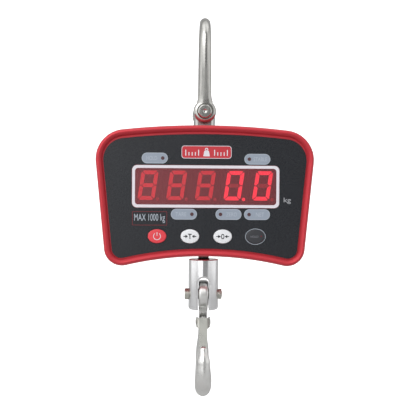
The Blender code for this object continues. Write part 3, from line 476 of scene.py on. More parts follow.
@dataclass(frozen=True)
class Plastic(Finish):
    """Moulded or coated plastic with a fine spark-eroded texture."""

    roughness: Pair = (0.36, 0.48)
    texture_scale: float = 2600.0
    texture_depth: float = 0.000010
    coat: float = 0.0
    tone: float = 0.10

    def paint(self, sheet: NodeSheet) -> bpy.types.Material:
        """Fine noise gives the texture and wide noise the tone."""
        fine = sheet.noise(self.texture_scale, 2.0)
        cloud = sheet.noise(60.0, 2.0)
        sheet.connect("Base Color", sheet.blend(sheet.spread(cloud, 0.0, 1.0),
                                                scaled(self.colour, 1 - self.tone), self.colour))
        sheet.connect("Roughness", sheet.spread(fine, *self.roughness))
        sheet.number(Coat_Weight=self.coat, Coat_Roughness=0.25)
        sheet.relief(fine, self.texture_depth)
        return sheet.material


@dataclass(frozen=True)
class Ink(Finish):
    """Screen-printed ink: flat colour, faintly uneven where the mesh laid it down."""

    roughness: float = 0.5

    def paint(self, sheet: NodeSheet) -> bpy.types.Material:
        """A fine weave of the screen's mesh over a soft tone."""
        weave = sheet.noise(4200.0, 1.0)
        cloud = sheet.noise(140.0, 2.0)
        share = sheet.calculate("MULTIPLY", sheet.spread(weave, 0.4, 1.0), sheet.spread(cloud, 0.6, 1.0))
        sheet.connect("Base Color", sheet.blend(share, scaled(self.colour, 0.88), self.colour))
        sheet.connect("Roughness", sheet.spread(weave, self.roughness - 0.06, self.roughness + 0.06))
        sheet.relief(weave, 0.000006)
        return sheet.material


@dataclass(frozen=True)
class Glow(Finish):
    """A light-emitting face: an even light over a body colour that varies softly."""

    strength: float = 1.0

    def paint(self, sheet: NodeSheet) -> bpy.types.Material:
        """Soft noise varies the body colour; the light itself is even."""
        cloud = sheet.noise(900.0, 2.0)
        sheet.connect("Base Color", sheet.blend(sheet.spread(cloud, 0.0, 1.0),
                                                scaled(self.colour, 0.35), scaled(self.colour, 0.5)))
        sheet.shader.inputs["Emission Color"].default_value = (*self.colour, 1.0)
        sheet.number(Emission_Strength=self.strength, Roughness=0.45)
        return sheet.material


@dataclass(frozen=True)
class Filter(Finish):
    """The display's tinted window: it lets part of what lies behind it through, and has fine ruled lines."""

    cover: float = 0.5
    line_pitch: float = 0.00085

    def paint(self, sheet: NodeSheet) -> bpy.types.Material:
        """Level lines a fixed pitch apart darken the tint a little, and a painted shade darkens it from left
        to right.
        """
        height = sheet.add("ShaderNodeSeparateXYZ", {0: sheet.place()}).outputs["Z"]
        phase = sheet.calculate("MULTIPLY", height, math.tau / self.line_pitch)
        wave = sheet.calculate("SINE", phase, 0.0)
        # painted shade: the tint darkens from left to right across the window, standing in for the light
        # being brighter on the left
        side = sheet.add("ShaderNodeSeparateXYZ", {0: sheet.place()}).outputs["X"]
        painted_shade_rightward = sheet.spread(side, 0.0, 0.45, -0.075, 0.075)
        lines = sheet.spread(wave, 0.0, 0.16, -1.0, 1.0)
        share = sheet.calculate("ADD", painted_shade_rightward, lines)
        sheet.connect("Base Color", sheet.blend(share, self.colour, scaled(self.colour, 0.55)))
        sheet.connect("Roughness", sheet.spread(sheet.noise(400.0, 2.0), 0.28, 0.34))
        sheet.number(Alpha=self.cover, Coat_Weight=0.3, Coat_Roughness=0.08)
        return sheet.material


@dataclass(frozen=True)
class CircuitBoard(Finish):
    """A solder-masked board with copper tracks and tinned pads."""

    track: Colour = (0.05, 0.32, 0.12)
    pad: Colour = (0.75, 0.74, 0.70)

    def paint(self, sheet: NodeSheet) -> bpy.types.Material:
        """Bricks laid along X and Z give the tracks, and small cells the pads."""
        lay = sheet.place(turn=(math.pi / 2, 0, 0))
        inputs = {"Vector": lay, "Scale": 260.0, "Mortar Size": 0.09, "Brick Width": 1.4, "Row Height": 0.45}
        tracks = sheet.add("ShaderNodeTexBrick", inputs).outputs["Fac"]
        cells = sheet.add("ShaderNodeTexVoronoi", {"Vector": lay, "Scale": 330.0}).outputs["Distance"]
        board = sheet.blend(tracks, self.colour, self.track)
        pads = sheet.spread(cells, 1.0, 0.0, 0.10, 0.16)
        sheet.connect("Base Color", sheet.blend(pads, board, self.pad))
        sheet.connect("Roughness", sheet.spread(pads, 0.42, 0.25, 0.0, 1.0))
        sheet.relief(tracks, 0.00003)
        return sheet.material


class Look(Enum):
    """The finishes of the scale, by what they are on."""

    SHACKLE_STEEL = Metal("shackle_steel", "forged_steel", (0.58, 0.575, 0.55), (0.16, 0.27),
                          (1.0, 1.0, 0.25), 900.0, 0.000014, 0.16, 2.0)
    HOOK_STEEL = Metal("hook_steel", "forged_steel", (0.87, 0.87, 0.85), (0.24, 0.40),
                       (1.0, 1.0, 1.0), 800.0, 0.000025, 0.16, 3.0)
    CLEVIS_STEEL = Metal("clevis_steel", "polished_steel", (0.94, 0.94, 0.95), (0.10, 0.17),
                         (1.0, 1.0, 6.0), 500.0, 0.000005, 0.06)
    # painted shade: a near-black steel colour for the stem below the housing, standing in for the shade in
    # the gap between housing and clevis
    STEM_STEEL = Metal("stem_steel", "polished_steel", (0.10, 0.085, 0.08), (0.30, 0.42))
    EYE_STEEL = Metal("eye_steel", "polished_steel", (0.62, 0.62, 0.61), (0.16, 0.24),
                      (1.0, 1.0, 5.0), 500.0, 0.000006, 0.10)
    PLATED_STEEL = Metal("plated_steel", "plated_steel", (0.66, 0.66, 0.64), (0.20, 0.32),
                         (1.0, 1.0, 1.0), 900.0, 0.000010, 0.14)
    LATCH_STEEL = Metal("latch_steel", "plated_steel", (0.40, 0.405, 0.375), (0.24, 0.36),
                        (1.0, 1.0, 0.2), 1100.0, 0.000012, 0.16)
    SPRING_STEEL = Metal("spring_steel", "polished_steel", (0.60, 0.60, 0.62), (0.14, 0.22))
    CELL_METAL = Metal("cell_metal", "polished_steel", (0.74, 0.74, 0.73), (0.20, 0.34),
                       (1.0, 6.0, 6.0), 350.0, 0.000010, 0.08)
    RED_ENAMEL = Enamel("red_enamel", "red_enamel", (0.62, 0.030, 0.043))
    LABEL = Plastic("label_black", "black_label", (0.020, 0.022, 0.027), (0.24, 0.32), 2200.0, 0.000003,
                    0.0, 0.10)
    WINDOW = Filter("window_filter", "red_filter", (0.36, 0.080, 0.095))
    MODULE = Plastic("module_face", "display_red", (0.020, 0.012, 0.014), (0.5, 0.62))
    LIT = Glow("segment_lit", "display_red", (1.0, 0.030, 0.060), 3.2)
    # painted glow: the unlit segments emit a dim red light that stands in for room light seen through the red
    # window; the fainter one is for the unlit bars and points
    DIM = Glow("segment_unlit_painted_glow", "display_red", (0.80, 0.022, 0.035), 1.75)
    FAINT = Glow("segment_faint", "display_red", (0.50, 0.020, 0.028), 0.85)
    LED = Plastic("led_body", "display_red", (0.22, 0.03, 0.03), (0.25, 0.35))
    RED_KEY = Plastic("key_red", "red_key", (0.86, 0.060, 0.080), (0.34, 0.46), 1800.0, 0.000006, 0.1)
    WHITE_KEY = Plastic("key_white", "white_key", (0.86, 0.87, 0.90), (0.34, 0.46), 1800.0, 0.000006, 0.1,
                        0.04)
    DARK_KEY = Plastic("key_dark", "dark_key", (0.038, 0.039, 0.046), (0.34, 0.46), 1800.0, 0.000006, 0.1)
    WHITE_INK = Ink("ink_white", "black_label", (0.84, 0.80, 0.86))
    UNIT_INK = Ink("ink_unit", "black_label", (0.45, 0.46, 0.49))
    GREY_INK = Ink("ink_grey", "black_label", (0.33, 0.38, 0.46))
    PALE_INK = Ink("ink_pale", "black_label", (0.48, 0.53, 0.60))
    DIM_INK = Ink("ink_dim", "black_label", (0.22, 0.23, 0.26))
    RED_INK = Ink("ink_red", "black_label", (0.60, 0.035, 0.05))
    DARK_RED_INK = Ink("ink_dark_red", "black_label", (0.20, 0.022, 0.030))
    LED_INK = Ink("ink_led", "black_label", (0.10, 0.045, 0.05), 0.3)
    KEY_INK = Ink("ink_key", "white_key", (0.05, 0.052, 0.06))
    RUBBER = Plastic("rubber", "black_rubber", (0.018, 0.018, 0.019), (0.66, 0.82), 1500.0, 0.00003)
    SOCKET = Plastic("socket_black", "switch_black", (0.022, 0.022, 0.024), (0.4, 0.52))
    BATTERY = Plastic("battery_shell", "battery_case", (0.050, 0.052, 0.060), (0.45, 0.60), 1200.0, 0.00003)
    SHEATH = Plastic("cable_sheath", "cable_sheath", (0.07, 0.07, 0.075), (0.5, 0.62), 1500.0, 0.00002)
    BOARD = CircuitBoard("circuit_green", "circuit_board", (0.018, 0.16, 0.060))


def fit(item: bpy.types.Object, look: Look, body: str | Body, *nodes: str) -> bpy.types.Object:
    """Dresses a finished piece, fixes it to its body and hides the modelled nodes it stands for."""
    item.data.materials.clear()
    item.data.materials.append(look.value.material())
    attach(item, body.value if isinstance(body, Body) else body)
    if nodes:
        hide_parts(*nodes)
    LOG.info("%s: %d faces", item.name, len(item.data.polygons))
    return item


def dress(look: Look, *nodes: str) -> None:
    """Gives carried-over nodes their finish."""
    for name in nodes:
        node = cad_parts[name]
        if not node.material_slots:
            node.data.materials.append(None)
        for place in node.material_slots:
            place.material = look.value.material()
        LOG.info("%s: dressed", name)


# ------------------------------------------------------------------ shackle
@dataclass
class Shackle:
    """The forged bow and the pin through its two ears."""

    pin_level: float = -0.0884
    bow_half: float = 0.0200
    jaw_half: float = 0.0094
    rod_crown: float = 0.0055
    rod_ear: float = 0.0068
    ear_radius: float = 0.01175
    ear_thickness: float = 0.0126
    ear_round: float = 0.0046
    pin_radius: float = 0.0073
    head_radius: float = 0.0122
    head_height: float = 0.0090

    def centre_line(self) -> tuple[np.ndarray, np.ndarray]:
        """(y, z) points of the rod from the left ear over the crown to the right ear, and the rod's radius.

        The crown is a half circle. Each leg then closes from the crown's width to the ears' by the same ease.
        """
        wide = self.bow_half + self.rod_crown
        narrow = self.jaw_half + self.ear_thickness / 2
        hub = self.rod_crown - wide
        turn = np.linspace(0, math.pi / 2, 33)
        down = np.linspace(0, 1, 65)[1:]
        leg = hub - self.pin_level - 0.0020
        side = np.concatenate((wide * np.sin(turn), eased(((0, wide), (1, narrow)), down)))
        level = np.concatenate((hub + wide * np.cos(turn), hub - leg * down))
        step = np.hypot(np.diff(side), np.diff(level))
        along = np.concatenate(([0], np.cumsum(step)))
        radius = self.rod_crown + (self.rod_ear - self.rod_crown) * along / along[-1]
        mirrored = np.stack((-side[::-1], level[::-1]), axis=-1)
        middles = np.concatenate((mirrored, np.stack((side, level), axis=-1)[1:]))
        return middles, np.concatenate((radius[::-1], radius[1:]))

    def ear_profile(self) -> np.ndarray:
        """Half an ear seen from above: (radius, y) with its rim well rounded, as forging leaves it."""
        half = self.ear_thickness / 2
        corners = ((0.0, half), (self.ear_radius, half), (self.ear_radius, -half), (0.0, -half))
        return rounded(corners, (0, self.ear_round, self.ear_round, 0), 12)

    def bow(self) -> bpy.types.Object:
        """The rod swept along its line, widened into a fillet above the ears, with both ears joined on."""
        middles, radius = self.centre_line()
        above = middles[:, 1] - self.pin_level
        flare = 0.0014 * np.clip((0.0185 - above) / 0.008, 0, 1) ** 2
        flat = np.clip((0.034 - above) / 0.022, 0, 1)
        thin = self.ear_thickness / 2 - 0.00015
        depth = radius + (np.minimum(radius, thin) - radius) * flat ** 2
        item = make_object("shackle_bow_forged",
                           plane_sweep(middles, depth, radius + flare, 64, 2 + 0.8 * flat))
        middle = self.jaw_half + self.ear_thickness / 2
        ears = [revolved(self.ear_profile(), "Y", (0, side * middle, self.pin_level), 128)
                for side in (-1, 1)]
        combine(item, together(ears), "UNION")
        bore, lip = self.pin_radius + CLEARANCE, 0.0006
        cutters = []
        for side in (-1, 1):
            low, high = middle - self.ear_thickness / 2, middle + self.ear_thickness / 2
            profile = ((0, low - 0.002), (bore + lip, low - 0.002), (bore + lip, low), (bore, low + lip),
                       (bore, high - lip), (bore + lip, high), (bore + lip, high + 0.002), (0, high + 0.002))
            placed = [(r, side * y) for r, y in profile]
            cutters.append(revolved(placed, "Y", (0, 0, self.pin_level), 96))
        combine(item, together(cutters), "DIFFERENCE")
        return item

    def pin(self) -> bpy.types.Object:
        """The pin: a head behind, a chamfered end with a lathe centre in front."""
        face = self.jaw_half + self.ear_thickness
        seat, crest, end = face + CLEARANCE, face + CLEARANCE + self.head_height, -face - 0.001
        corners = ((0, crest - 0.0007), (0.0070, crest - 0.0007), (0.0082, crest),
                   (self.head_radius - 0.0010, crest),
                   (self.head_radius, crest - 0.0012), (self.head_radius, seat + 0.0006),
                   (self.head_radius - 0.0006, seat), (self.pin_radius, seat),
                   (self.pin_radius, end + 0.0012),
                   (self.pin_radius - 0.0012, end), (0.0022, end), (0.0, end + 0.0018))
        radii = (0, 0.0004, 0.0004, 0.0006, 0.0006, 0.0003, 0.0003, 0, 0.0004, 0.0004, 0.0002, 0)
        return make_object("shackle_pin_turned",
                           revolved(rounded(corners, radii, 4), "Y", (0, 0, self.pin_level)))

    def build(self) -> None:
        """Makes both pieces."""
        fit(self.bow(), Look.SHACKLE_STEEL, Body.SHACKLE, "shackle_bow")
        fit(self.pin(), Look.SHACKLE_STEEL, Body.SHACKLE, "shackle_pin")


# ------------------------------------------------------------------ load line above and below the housing
@dataclass
class LoadLine:
    """The eye bar above the load cell, the rubber seals and the dressed pieces inside."""

    pin_level: float = -0.0884
    eye_radius: float = 0.01125
    flat_half: float = 0.00865
    flat_low: float = -0.0162
    thread_radius: float = 0.0080
    bore: float = 0.0079

    def eye(self) -> bpy.types.Object:
        """The bar by levels: a circle clipped to a round head across and to two milled flats fore and aft."""
        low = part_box("upper_eye")[0]
        foot, shoulder = low.z - self.pin_level, frame_level("load_cell", True) - self.pin_level + CLEARANCE
        rise = np.linspace(math.pi / 2, 0, 25)
        radius = self.eye_radius
        rows = [(radius * math.sin(u), radius * math.cos(u), self.flat_half) for u in rise]
        rows += [(z, radius, self.flat_half) for z in np.linspace(-0.002, self.flat_low, 10)]
        rows += [(self.flat_low - step, radius, self.flat_half + step * 4) for step in (0.0003, 0.0007)]
        rows += [(z, radius, radius) for z in (shoulder + 0.0006,)]
        rows += [(shoulder, radius - 0.0006, radius)]
        rows += [(z, self.thread_radius, radius) for z in (shoulder - 0.0001, foot + 0.0008)]
        rows += [(foot, self.thread_radius - 0.0008, radius)]
        level, reach, flat = (np.array(column)[:, None] for column in zip(*rows))
        turn = np.linspace(0, math.tau, 128, endpoint=False)[None, :]
        turning = np.where(level > shoulder, radius, reach)
        across = np.clip(turning * np.cos(turn), -reach, reach)
        through = np.clip(turning * np.sin(turn), -flat, flat)
        points = np.stack(np.broadcast_arrays(across, through, level + self.pin_level), axis=-1)
        item = make_object("upper_eye_machined", grid_skin(points))
        combine(item, revolved(((0, -0.03), (self.bore, -0.03), (self.bore, 0.03), (0, 0.03)), "Y",
                               (0, 0, self.pin_level)), "DIFFERENCE")
        return item

    def seal(self, name: str, node: str, inner: float, lip_up: bool) -> bpy.types.Object:
        """A rubber ring with a rounded lip outside the housing."""
        low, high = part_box(node)
        outer, wall, lip = 0.0150, 0.0132, 0.0010
        if lip_up:
            corners = ((outer, high.z), (outer, high.z - lip), (wall, high.z - lip), (wall, low.z),
                       (inner, low.z), (inner, high.z))
        else:
            corners = ((outer, high.z), (outer, high.z - 0.0007), (wall, high.z - 0.0007), (wall, low.z),
                       (inner, low.z), (inner, high.z))
        return make_object(name, revolved(rounded(corners, 0.0003, 3, closed=True), "Z", loop=True))

    def build(self) -> None:
        """Makes the eye and the seals and dresses the inner line."""
        fit(self.eye(), Look.EYE_STEEL, Body.SCALE, "upper_eye")
        fit(self.seal("top_seal_ring", "top_seal", 0.01155, True), Look.RUBBER, Body.SCALE, "top_seal")
        fit(self.seal("bottom_seal_ring", "bottom_seal", 0.0058, False), Look.RUBBER, Body.SCALE,
            "bottom_seal")
        dress(Look.CELL_METAL, "load_cell")
        dress(Look.PLATED_STEEL, "swivel_yoke", "ball_cage", "cell_bracket", "left_bracket_screw",
              "right_bracket_screw", "stem_nut", "battery_strap")
        dress(Look.SPRING_STEEL, "lower_race", "upper_race")


def frame_level(node: str, top: bool) -> float:
    """The highest or lowest level of a modelled node."""
    low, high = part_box(node)
    return high.z if top else low.z


# ------------------------------------------------------------------ housing
@dataclass
class Outline:
    """The housing's front outline: a bulging top, flanks that close downwards and an arched underside."""

    centre: float = -0.1796
    top_rise: float = 0.0750
    top_radius: float = 0.745
    flank_x: float = 0.1057
    flank_slope: float = 0.10
    arch_drop: float = 0.0566
    arch_radius: float = 0.345
    top_corner: float = 0.030
    low_corner: float = 0.018
    label_lift: float = -0.0006
    label_spread: float = 1.006

    def hub(self, circle: float, reach: float, corner: float) -> Pair:
        """The middle of a corner that touches the flank and a circle centred on the middle line.

        It lies on the flank's line moved in by the corner, at the reach from the circle's middle, which
        gives a quadratic for its height.
        """
        base = self.flank_x - corner * math.hypot(1.0, self.flank_slope)
        a = 1.0 + self.flank_slope ** 2
        b = 2.0 * (base * self.flank_slope - circle)
        c = base ** 2 + circle ** 2 - reach ** 2
        height = (-b + math.sqrt(b * b - 4.0 * a * c)) / (2.0 * a)
        return base + self.flank_slope * height, height

    def line(self, inset: float, shifted: bool = False) -> np.ndarray:
        """(x, z) points of the outline moved inwards: arcs on fixed hubs whose radii take the inset.

        The label's line is a little wider and lower than the case's own, so that the ledge beside it is
        widest over the top.
        """
        top, arch = self.top_rise - self.top_radius, -self.arch_drop - self.arch_radius
        high = self.hub(top, self.top_radius - self.top_corner, self.top_corner)
        low = self.hub(arch, self.arch_radius + self.low_corner, self.low_corner)
        level = math.atan2(-self.flank_slope, 1.0)
        high_turn = math.atan2(high[1] - top, high[0])
        low_turn = math.atan2(arch - low[1], -low[0])
        arch_turn = math.atan2(low[1] - arch, low[0])
        right = np.concatenate((arc(low, self.low_corner - inset, low_turn, level, 22),
                                arc(high, self.top_corner - inset, level, high_turn, 26)))
        over = arc((0.0, top), self.top_radius - inset, high_turn, math.pi - high_turn, 56)[1:-1]
        under = arc((0.0, arch), self.arch_radius + inset, math.pi - arch_turn, arch_turn, 56)[1:-1]
        line = np.concatenate((right, over, right[::-1] * (-1, 1), under))
        if shifted:
            line = line * (self.label_spread, 1.0) + (0.0, self.label_lift)
        return line + (0.0, self.centre)

    def rings(self, profile: np.ndarray) -> np.ndarray:
        """One ring for each (inset, y) of a profile."""
        return np.stack([np.insert(self.line(inset), 1, y, axis=1) for inset, y in profile])


def arc(hub: Pair, radius: float, start: float, end: float, steps: int) -> np.ndarray:
    """Points round a hub at one radius, from one angle to another."""
    turn = np.linspace(start, end, steps + 1)
    return np.stack((hub[0] + radius * np.cos(turn), hub[1] + radius * np.sin(turn)), axis=-1)


@dataclass
class Housing:
    """The two cast halves, their gasket, the screws, the battery's cover and the charging socket."""

    outline: Outline = field(default_factory=Outline)
    rim: float = -0.0470
    floor: float = -0.0422
    front_wall: float = -0.0392
    parting: float = 0.0170
    rear: float = 0.0490
    rear_wall: float = 0.0450
    wall: float = 0.003
    window_place: Pair = (0.00075, 0.0134)
    aperture: Pair = (0.1446, 0.0374)
    screws: tuple[Pair, ...] = ((-0.093, 0.046), (-0.032, 0.064), (0.032, 0.064),
                                (0.093, 0.046), (0.088, -0.050), (-0.088, -0.050))
    board_posts: tuple[Pair, ...] = ((-0.080, -0.036), (-0.042, -0.036), (-0.080, 0.044), (-0.042, 0.046))
    well: float = 0.0300
    cover_size: Pair = (0.056, 0.092)
    cover_place: Pair = (0.057, 0.004)
    cover_thickness: float = 0.0024
    cover_screw: float = 0.0410
    socket_place: Pair = (-0.060, -0.038)

    def upright(self, radius: float, start: float, end: float, x: float, z: float, steps: int = 48) -> Skin:
        """A round bar along Y at a place on the housing's own plane."""
        profile = ((0, start), (radius, start), (radius, end), (0, end))
        return revolved(profile, "Y", (x, 0, z + self.outline.centre), steps)

    def front(self, keypad: Keypad) -> bpy.types.Object:
        """The front half: a floor for the label inside a rounded rim whose inner side is steep."""
        edge = self.parting - 0.0009
        corners = ((0.0140, self.floor), (0.0070, self.floor), (0.0056, self.rim + 0.0022),
                   (0.0034, self.rim), (0.0014, self.rim + 0.0010), (0.0, self.rim + 0.0060),
                   (0.0, edge), (self.wall, edge), (self.wall, -0.0350), (0.0055, self.front_wall),
                   (0.0140, self.front_wall))
        radii = (0, 0.0006, 0.0040, 0.0030, 0.0040, 0.0060, 0.0003, 0, 0.002, 0.002, 0)
        item = make_object("front_casting", grid_skin(self.outline.rings(rounded(corners, radii, 7))))
        posts = [self.upright(0.0045, self.front_wall - 0.001, edge, x, z) for x, z in self.screws]
        combine(item, together(posts), "UNION")
        middle = self.outline.centre
        x, z = self.window_place
        size = rounded_rectangle(self.aperture, 0.0020, (x, z + middle), 6)
        holes = [plate(size, self.rim, self.front_wall + 0.004)]
        holes += [plate(ellipse(keypad.grown(0.0004), place), self.rim, self.front_wall + 0.004)
                  for place in keypad.places()]
        holes += [self.upright(0.0018, self.rim, self.front_wall + 0.004, px, pz, 24)
                  for px, pz in Panel.indicators.values()]
        holes += [self.upright(0.0023, self.front_wall + 0.012, edge + 0.002, px, pz, 24)
                  for px, pz in self.screws]
        for level in (self.outline.top_rise, -self.outline.arch_drop):
            bar = ((0, -0.015), (0.0135, -0.015), (0.0135, 0.015), (0, 0.015))
            holes.append(revolved(bar, "Z", (0, 0, level + middle), 96))
        combine(item, together(holes), "DIFFERENCE")
        return item

    def back(self) -> bpy.types.Object:
        """The rear half: a flat back with round edges, screw wells, and recesses for cover and socket."""
        edge = self.parting + 0.0009
        corners = ((0.0160, self.rear), (0.0075, self.rear), (0.0026, self.rear - 0.0038),
                   (0.0, self.rear - 0.0150), (0.0, edge), (self.wall, edge), (self.wall, self.rear - 0.0160),
                   (0.0055, self.rear - 0.0080), (0.0095, self.rear_wall), (0.0160, self.rear_wall))
        radii = (0, 0.006, 0.008, 0.010, 0.0003, 0, 0.004, 0.004, 0.004, 0)
        item = make_object("rear_casting", grid_skin(self.outline.rings(rounded(corners, radii, 8))))
        inside = self.rear_wall + 0.001
        posts = [self.upright(0.0057, edge, inside, x, z) for x, z in self.screws]
        posts += [self.upright(0.0030, 0.0199, inside, x, z, 24) for x, z in self.board_posts]
        x, z = self.cover_place
        posts += [self.upright(0.0030, self.rear_wall - 0.003, inside - 0.0005, x,
                               z + side * self.cover_screw, 24)
                  for side in (-1, 1)]
        combine(item, together(posts), "UNION")
        past = self.rear + 0.01
        holes = [self.upright(0.0039, self.well, past, px, pz) for px, pz in self.screws]
        holes += [self.upright(0.0023, 0.01, self.well + 0.001, px, pz, 24) for px, pz in self.screws]
        middle = (x, z + self.outline.centre)
        width, height = self.cover_size
        recess = rounded_rectangle((width + 0.0006, height + 0.0006), 0.0022, middle, 8)
        holes.append(plate(recess, self.rear - self.cover_thickness - CLEARANCE, past))
        opening = rounded_rectangle((width - 0.008, height - 0.020), 0.0040, middle, 8)
        holes.append(plate(opening, self.rear - 0.02, past - 0.001))
        holes += [self.upright(0.0018, self.rear - 0.02, past - 0.002, x, z + side * self.cover_screw, 24)
                  for side in (-1, 1)]
        px, pz = self.socket_place
        holes.append(self.upright(0.0080, self.rear - 0.0024, past, px, pz, 96))
        holes.append(self.upright(0.0058, self.rear - 0.03, past - 0.001, px, pz, 96))
        combine(item, together(holes), "DIFFERENCE")
        return item

    def gasket(self) -> bpy.types.Object:
        """The rubber cord between the halves: one closed ring of four sides that follows the outline."""
        half = 0.0006
        corners = ((0.0004, self.parting - half), (0.0004, self.parting + half),
                   (self.wall - 0.0004, self.parting + half), (self.wall - 0.0004, self.parting - half))
        profile = rounded(corners, 0.0003, 3, closed=True)
        return make_object("gasket_cord", grid_skin(self.outline.rings(profile), loop=True, cap=False))

    def socket_screw(self, name: str, head: float, shank: float, levels: tuple[float, float, float],
                     socket: Pair, x: float, z: float) -> bpy.types.Object:
        """A cap screw along Y: a head with a hexagon socket, and its shank.

        Args:
            name: the piece's name.
            head: the head's radius.
            shank: the shank's radius.
            levels: y of the head's top, of its seat and of the shank's end.
            socket: the socket's corner radius and depth.
            x: the screw's place on the housing's plane.
            z: the same, upwards.
        """
        top, seat, end = levels
        key, depth = socket
        profile = ((0, top - depth - key * 0.3), (key, top - depth), (key, top - 0.00015),
                   (key + 0.0002, top),
                   (head - 0.0003, top), (head, top - 0.0003), (head, seat), (shank, seat),
                   (shank, end + 0.0004),
                   (shank - 0.0004, end), (0, end))
        skin = revolved(profile, "Y", (x, 0, z + self.outline.centre), 48, hexagonal=(1, 2, 3))
        return make_object(name, skin)

    def cover(self) -> bpy.types.Object:
        """The battery's cover: an eased plate with two counterbored holes."""
        x, z = self.cover_place
        z += self.outline.centre
        outline = rounded_rectangle(self.cover_size, 0.0020, (x, z), 8)
        item = make_object("battery_cover_plate", mirrored_plate(outline, self.rear - self.cover_thickness,
                                                                 self.rear, 0.0003))
        past = self.rear + 0.004
        holes = []
        for side in (-1, 1):
            place = (x, 0, z + side * self.cover_screw)
            profile = ((0, self.rear - 0.01), (0.0018, self.rear - 0.01), (0.0018, self.rear - 0.0012),
                       (0.0033, self.rear - 0.0012), (0.0033, past), (0, past))
            holes.append(revolved(profile, "Y", place, 48))
        combine(item, together(holes), "DIFFERENCE")
        return item

    def socket(self) -> bpy.types.Object:
        """The charging socket: a flange in its recess, a barrel behind it and a contact pin inside."""
        x, z = self.socket_place
        face, seat = self.rear - 0.0006, self.rear - 0.0024 + CLEARANCE
        corners = ((0.0, face - 0.0020), (0.0008, face - 0.0024), (0.0008, face - 0.0095),
                   (0.0030, face - 0.0095), (0.0030, face), (0.0074, face), (0.0074, seat), (0.0055, seat),
                   (0.0055, seat - 0.012), (0.0, seat - 0.012))
        profile = rounded(corners, (0, 0.0002, 0, 0, 0.0004, 0.0005, 0, 0, 0, 0), 4)
        return make_object("charge_socket_barrel", revolved(profile, "Y", (x, 0, z + self.outline.centre)))

    def build(self, keypad: Keypad) -> None:
        """Makes the housing's pieces."""
        fit(self.front(keypad), Look.RED_ENAMEL, Body.SCALE, "front_case")
        fit(self.back(), Look.RED_ENAMEL, Body.SCALE, "rear_case")
        fit(self.gasket(), Look.RUBBER, Body.SCALE, "case_gasket")
        seat = self.well + CLEARANCE
        for number, (x, z) in enumerate(self.screws, 1):
            item = self.socket_screw(f"cap_screw_{number}", 0.0036, 0.0020, (seat + 0.0040, seat, -0.0130),
                                     (0.0019, 0.0020), x, z)
            fit(item, Look.PLATED_STEEL, Body.SCALE, f"case_screw_{number}")
        x, z = self.cover_place
        seat = self.rear - 0.0012 + CLEARANCE
        for side, name in ((-1, "lower"), (1, "upper")):
            item = self.socket_screw(f"{name}_cover_cap_screw", 0.0030, 0.0015,
                                     (seat + 0.0007, seat, self.rear_wall - 0.0025), (0.0013, 0.0004),
                                     x, z + side * self.cover_screw)
            fit(item, Look.PLATED_STEEL, Body.SCALE, f"{name}_cover_screw")
        fit(self.cover(), Look.RED_ENAMEL, Body.SCALE, "battery_cover")
        fit(self.socket(), Look.SOCKET, Body.SCALE, "charge_socket")


def mirrored_plate(outline: np.ndarray, inner: float, outer: float, edge: float) -> Skin:
    """A plate whose eased face looks to +Y."""
    return plate(outline, outer, inner, 0.0) if edge <= 0 else grid_skin(np.stack([
        np.insert(line, 1, y, axis=1) for line, y in (
            (outline, inner), (outline, outer - edge),
            (outline + (outline.mean(axis=0) - outline) * (edge / 0.03), outer))]))


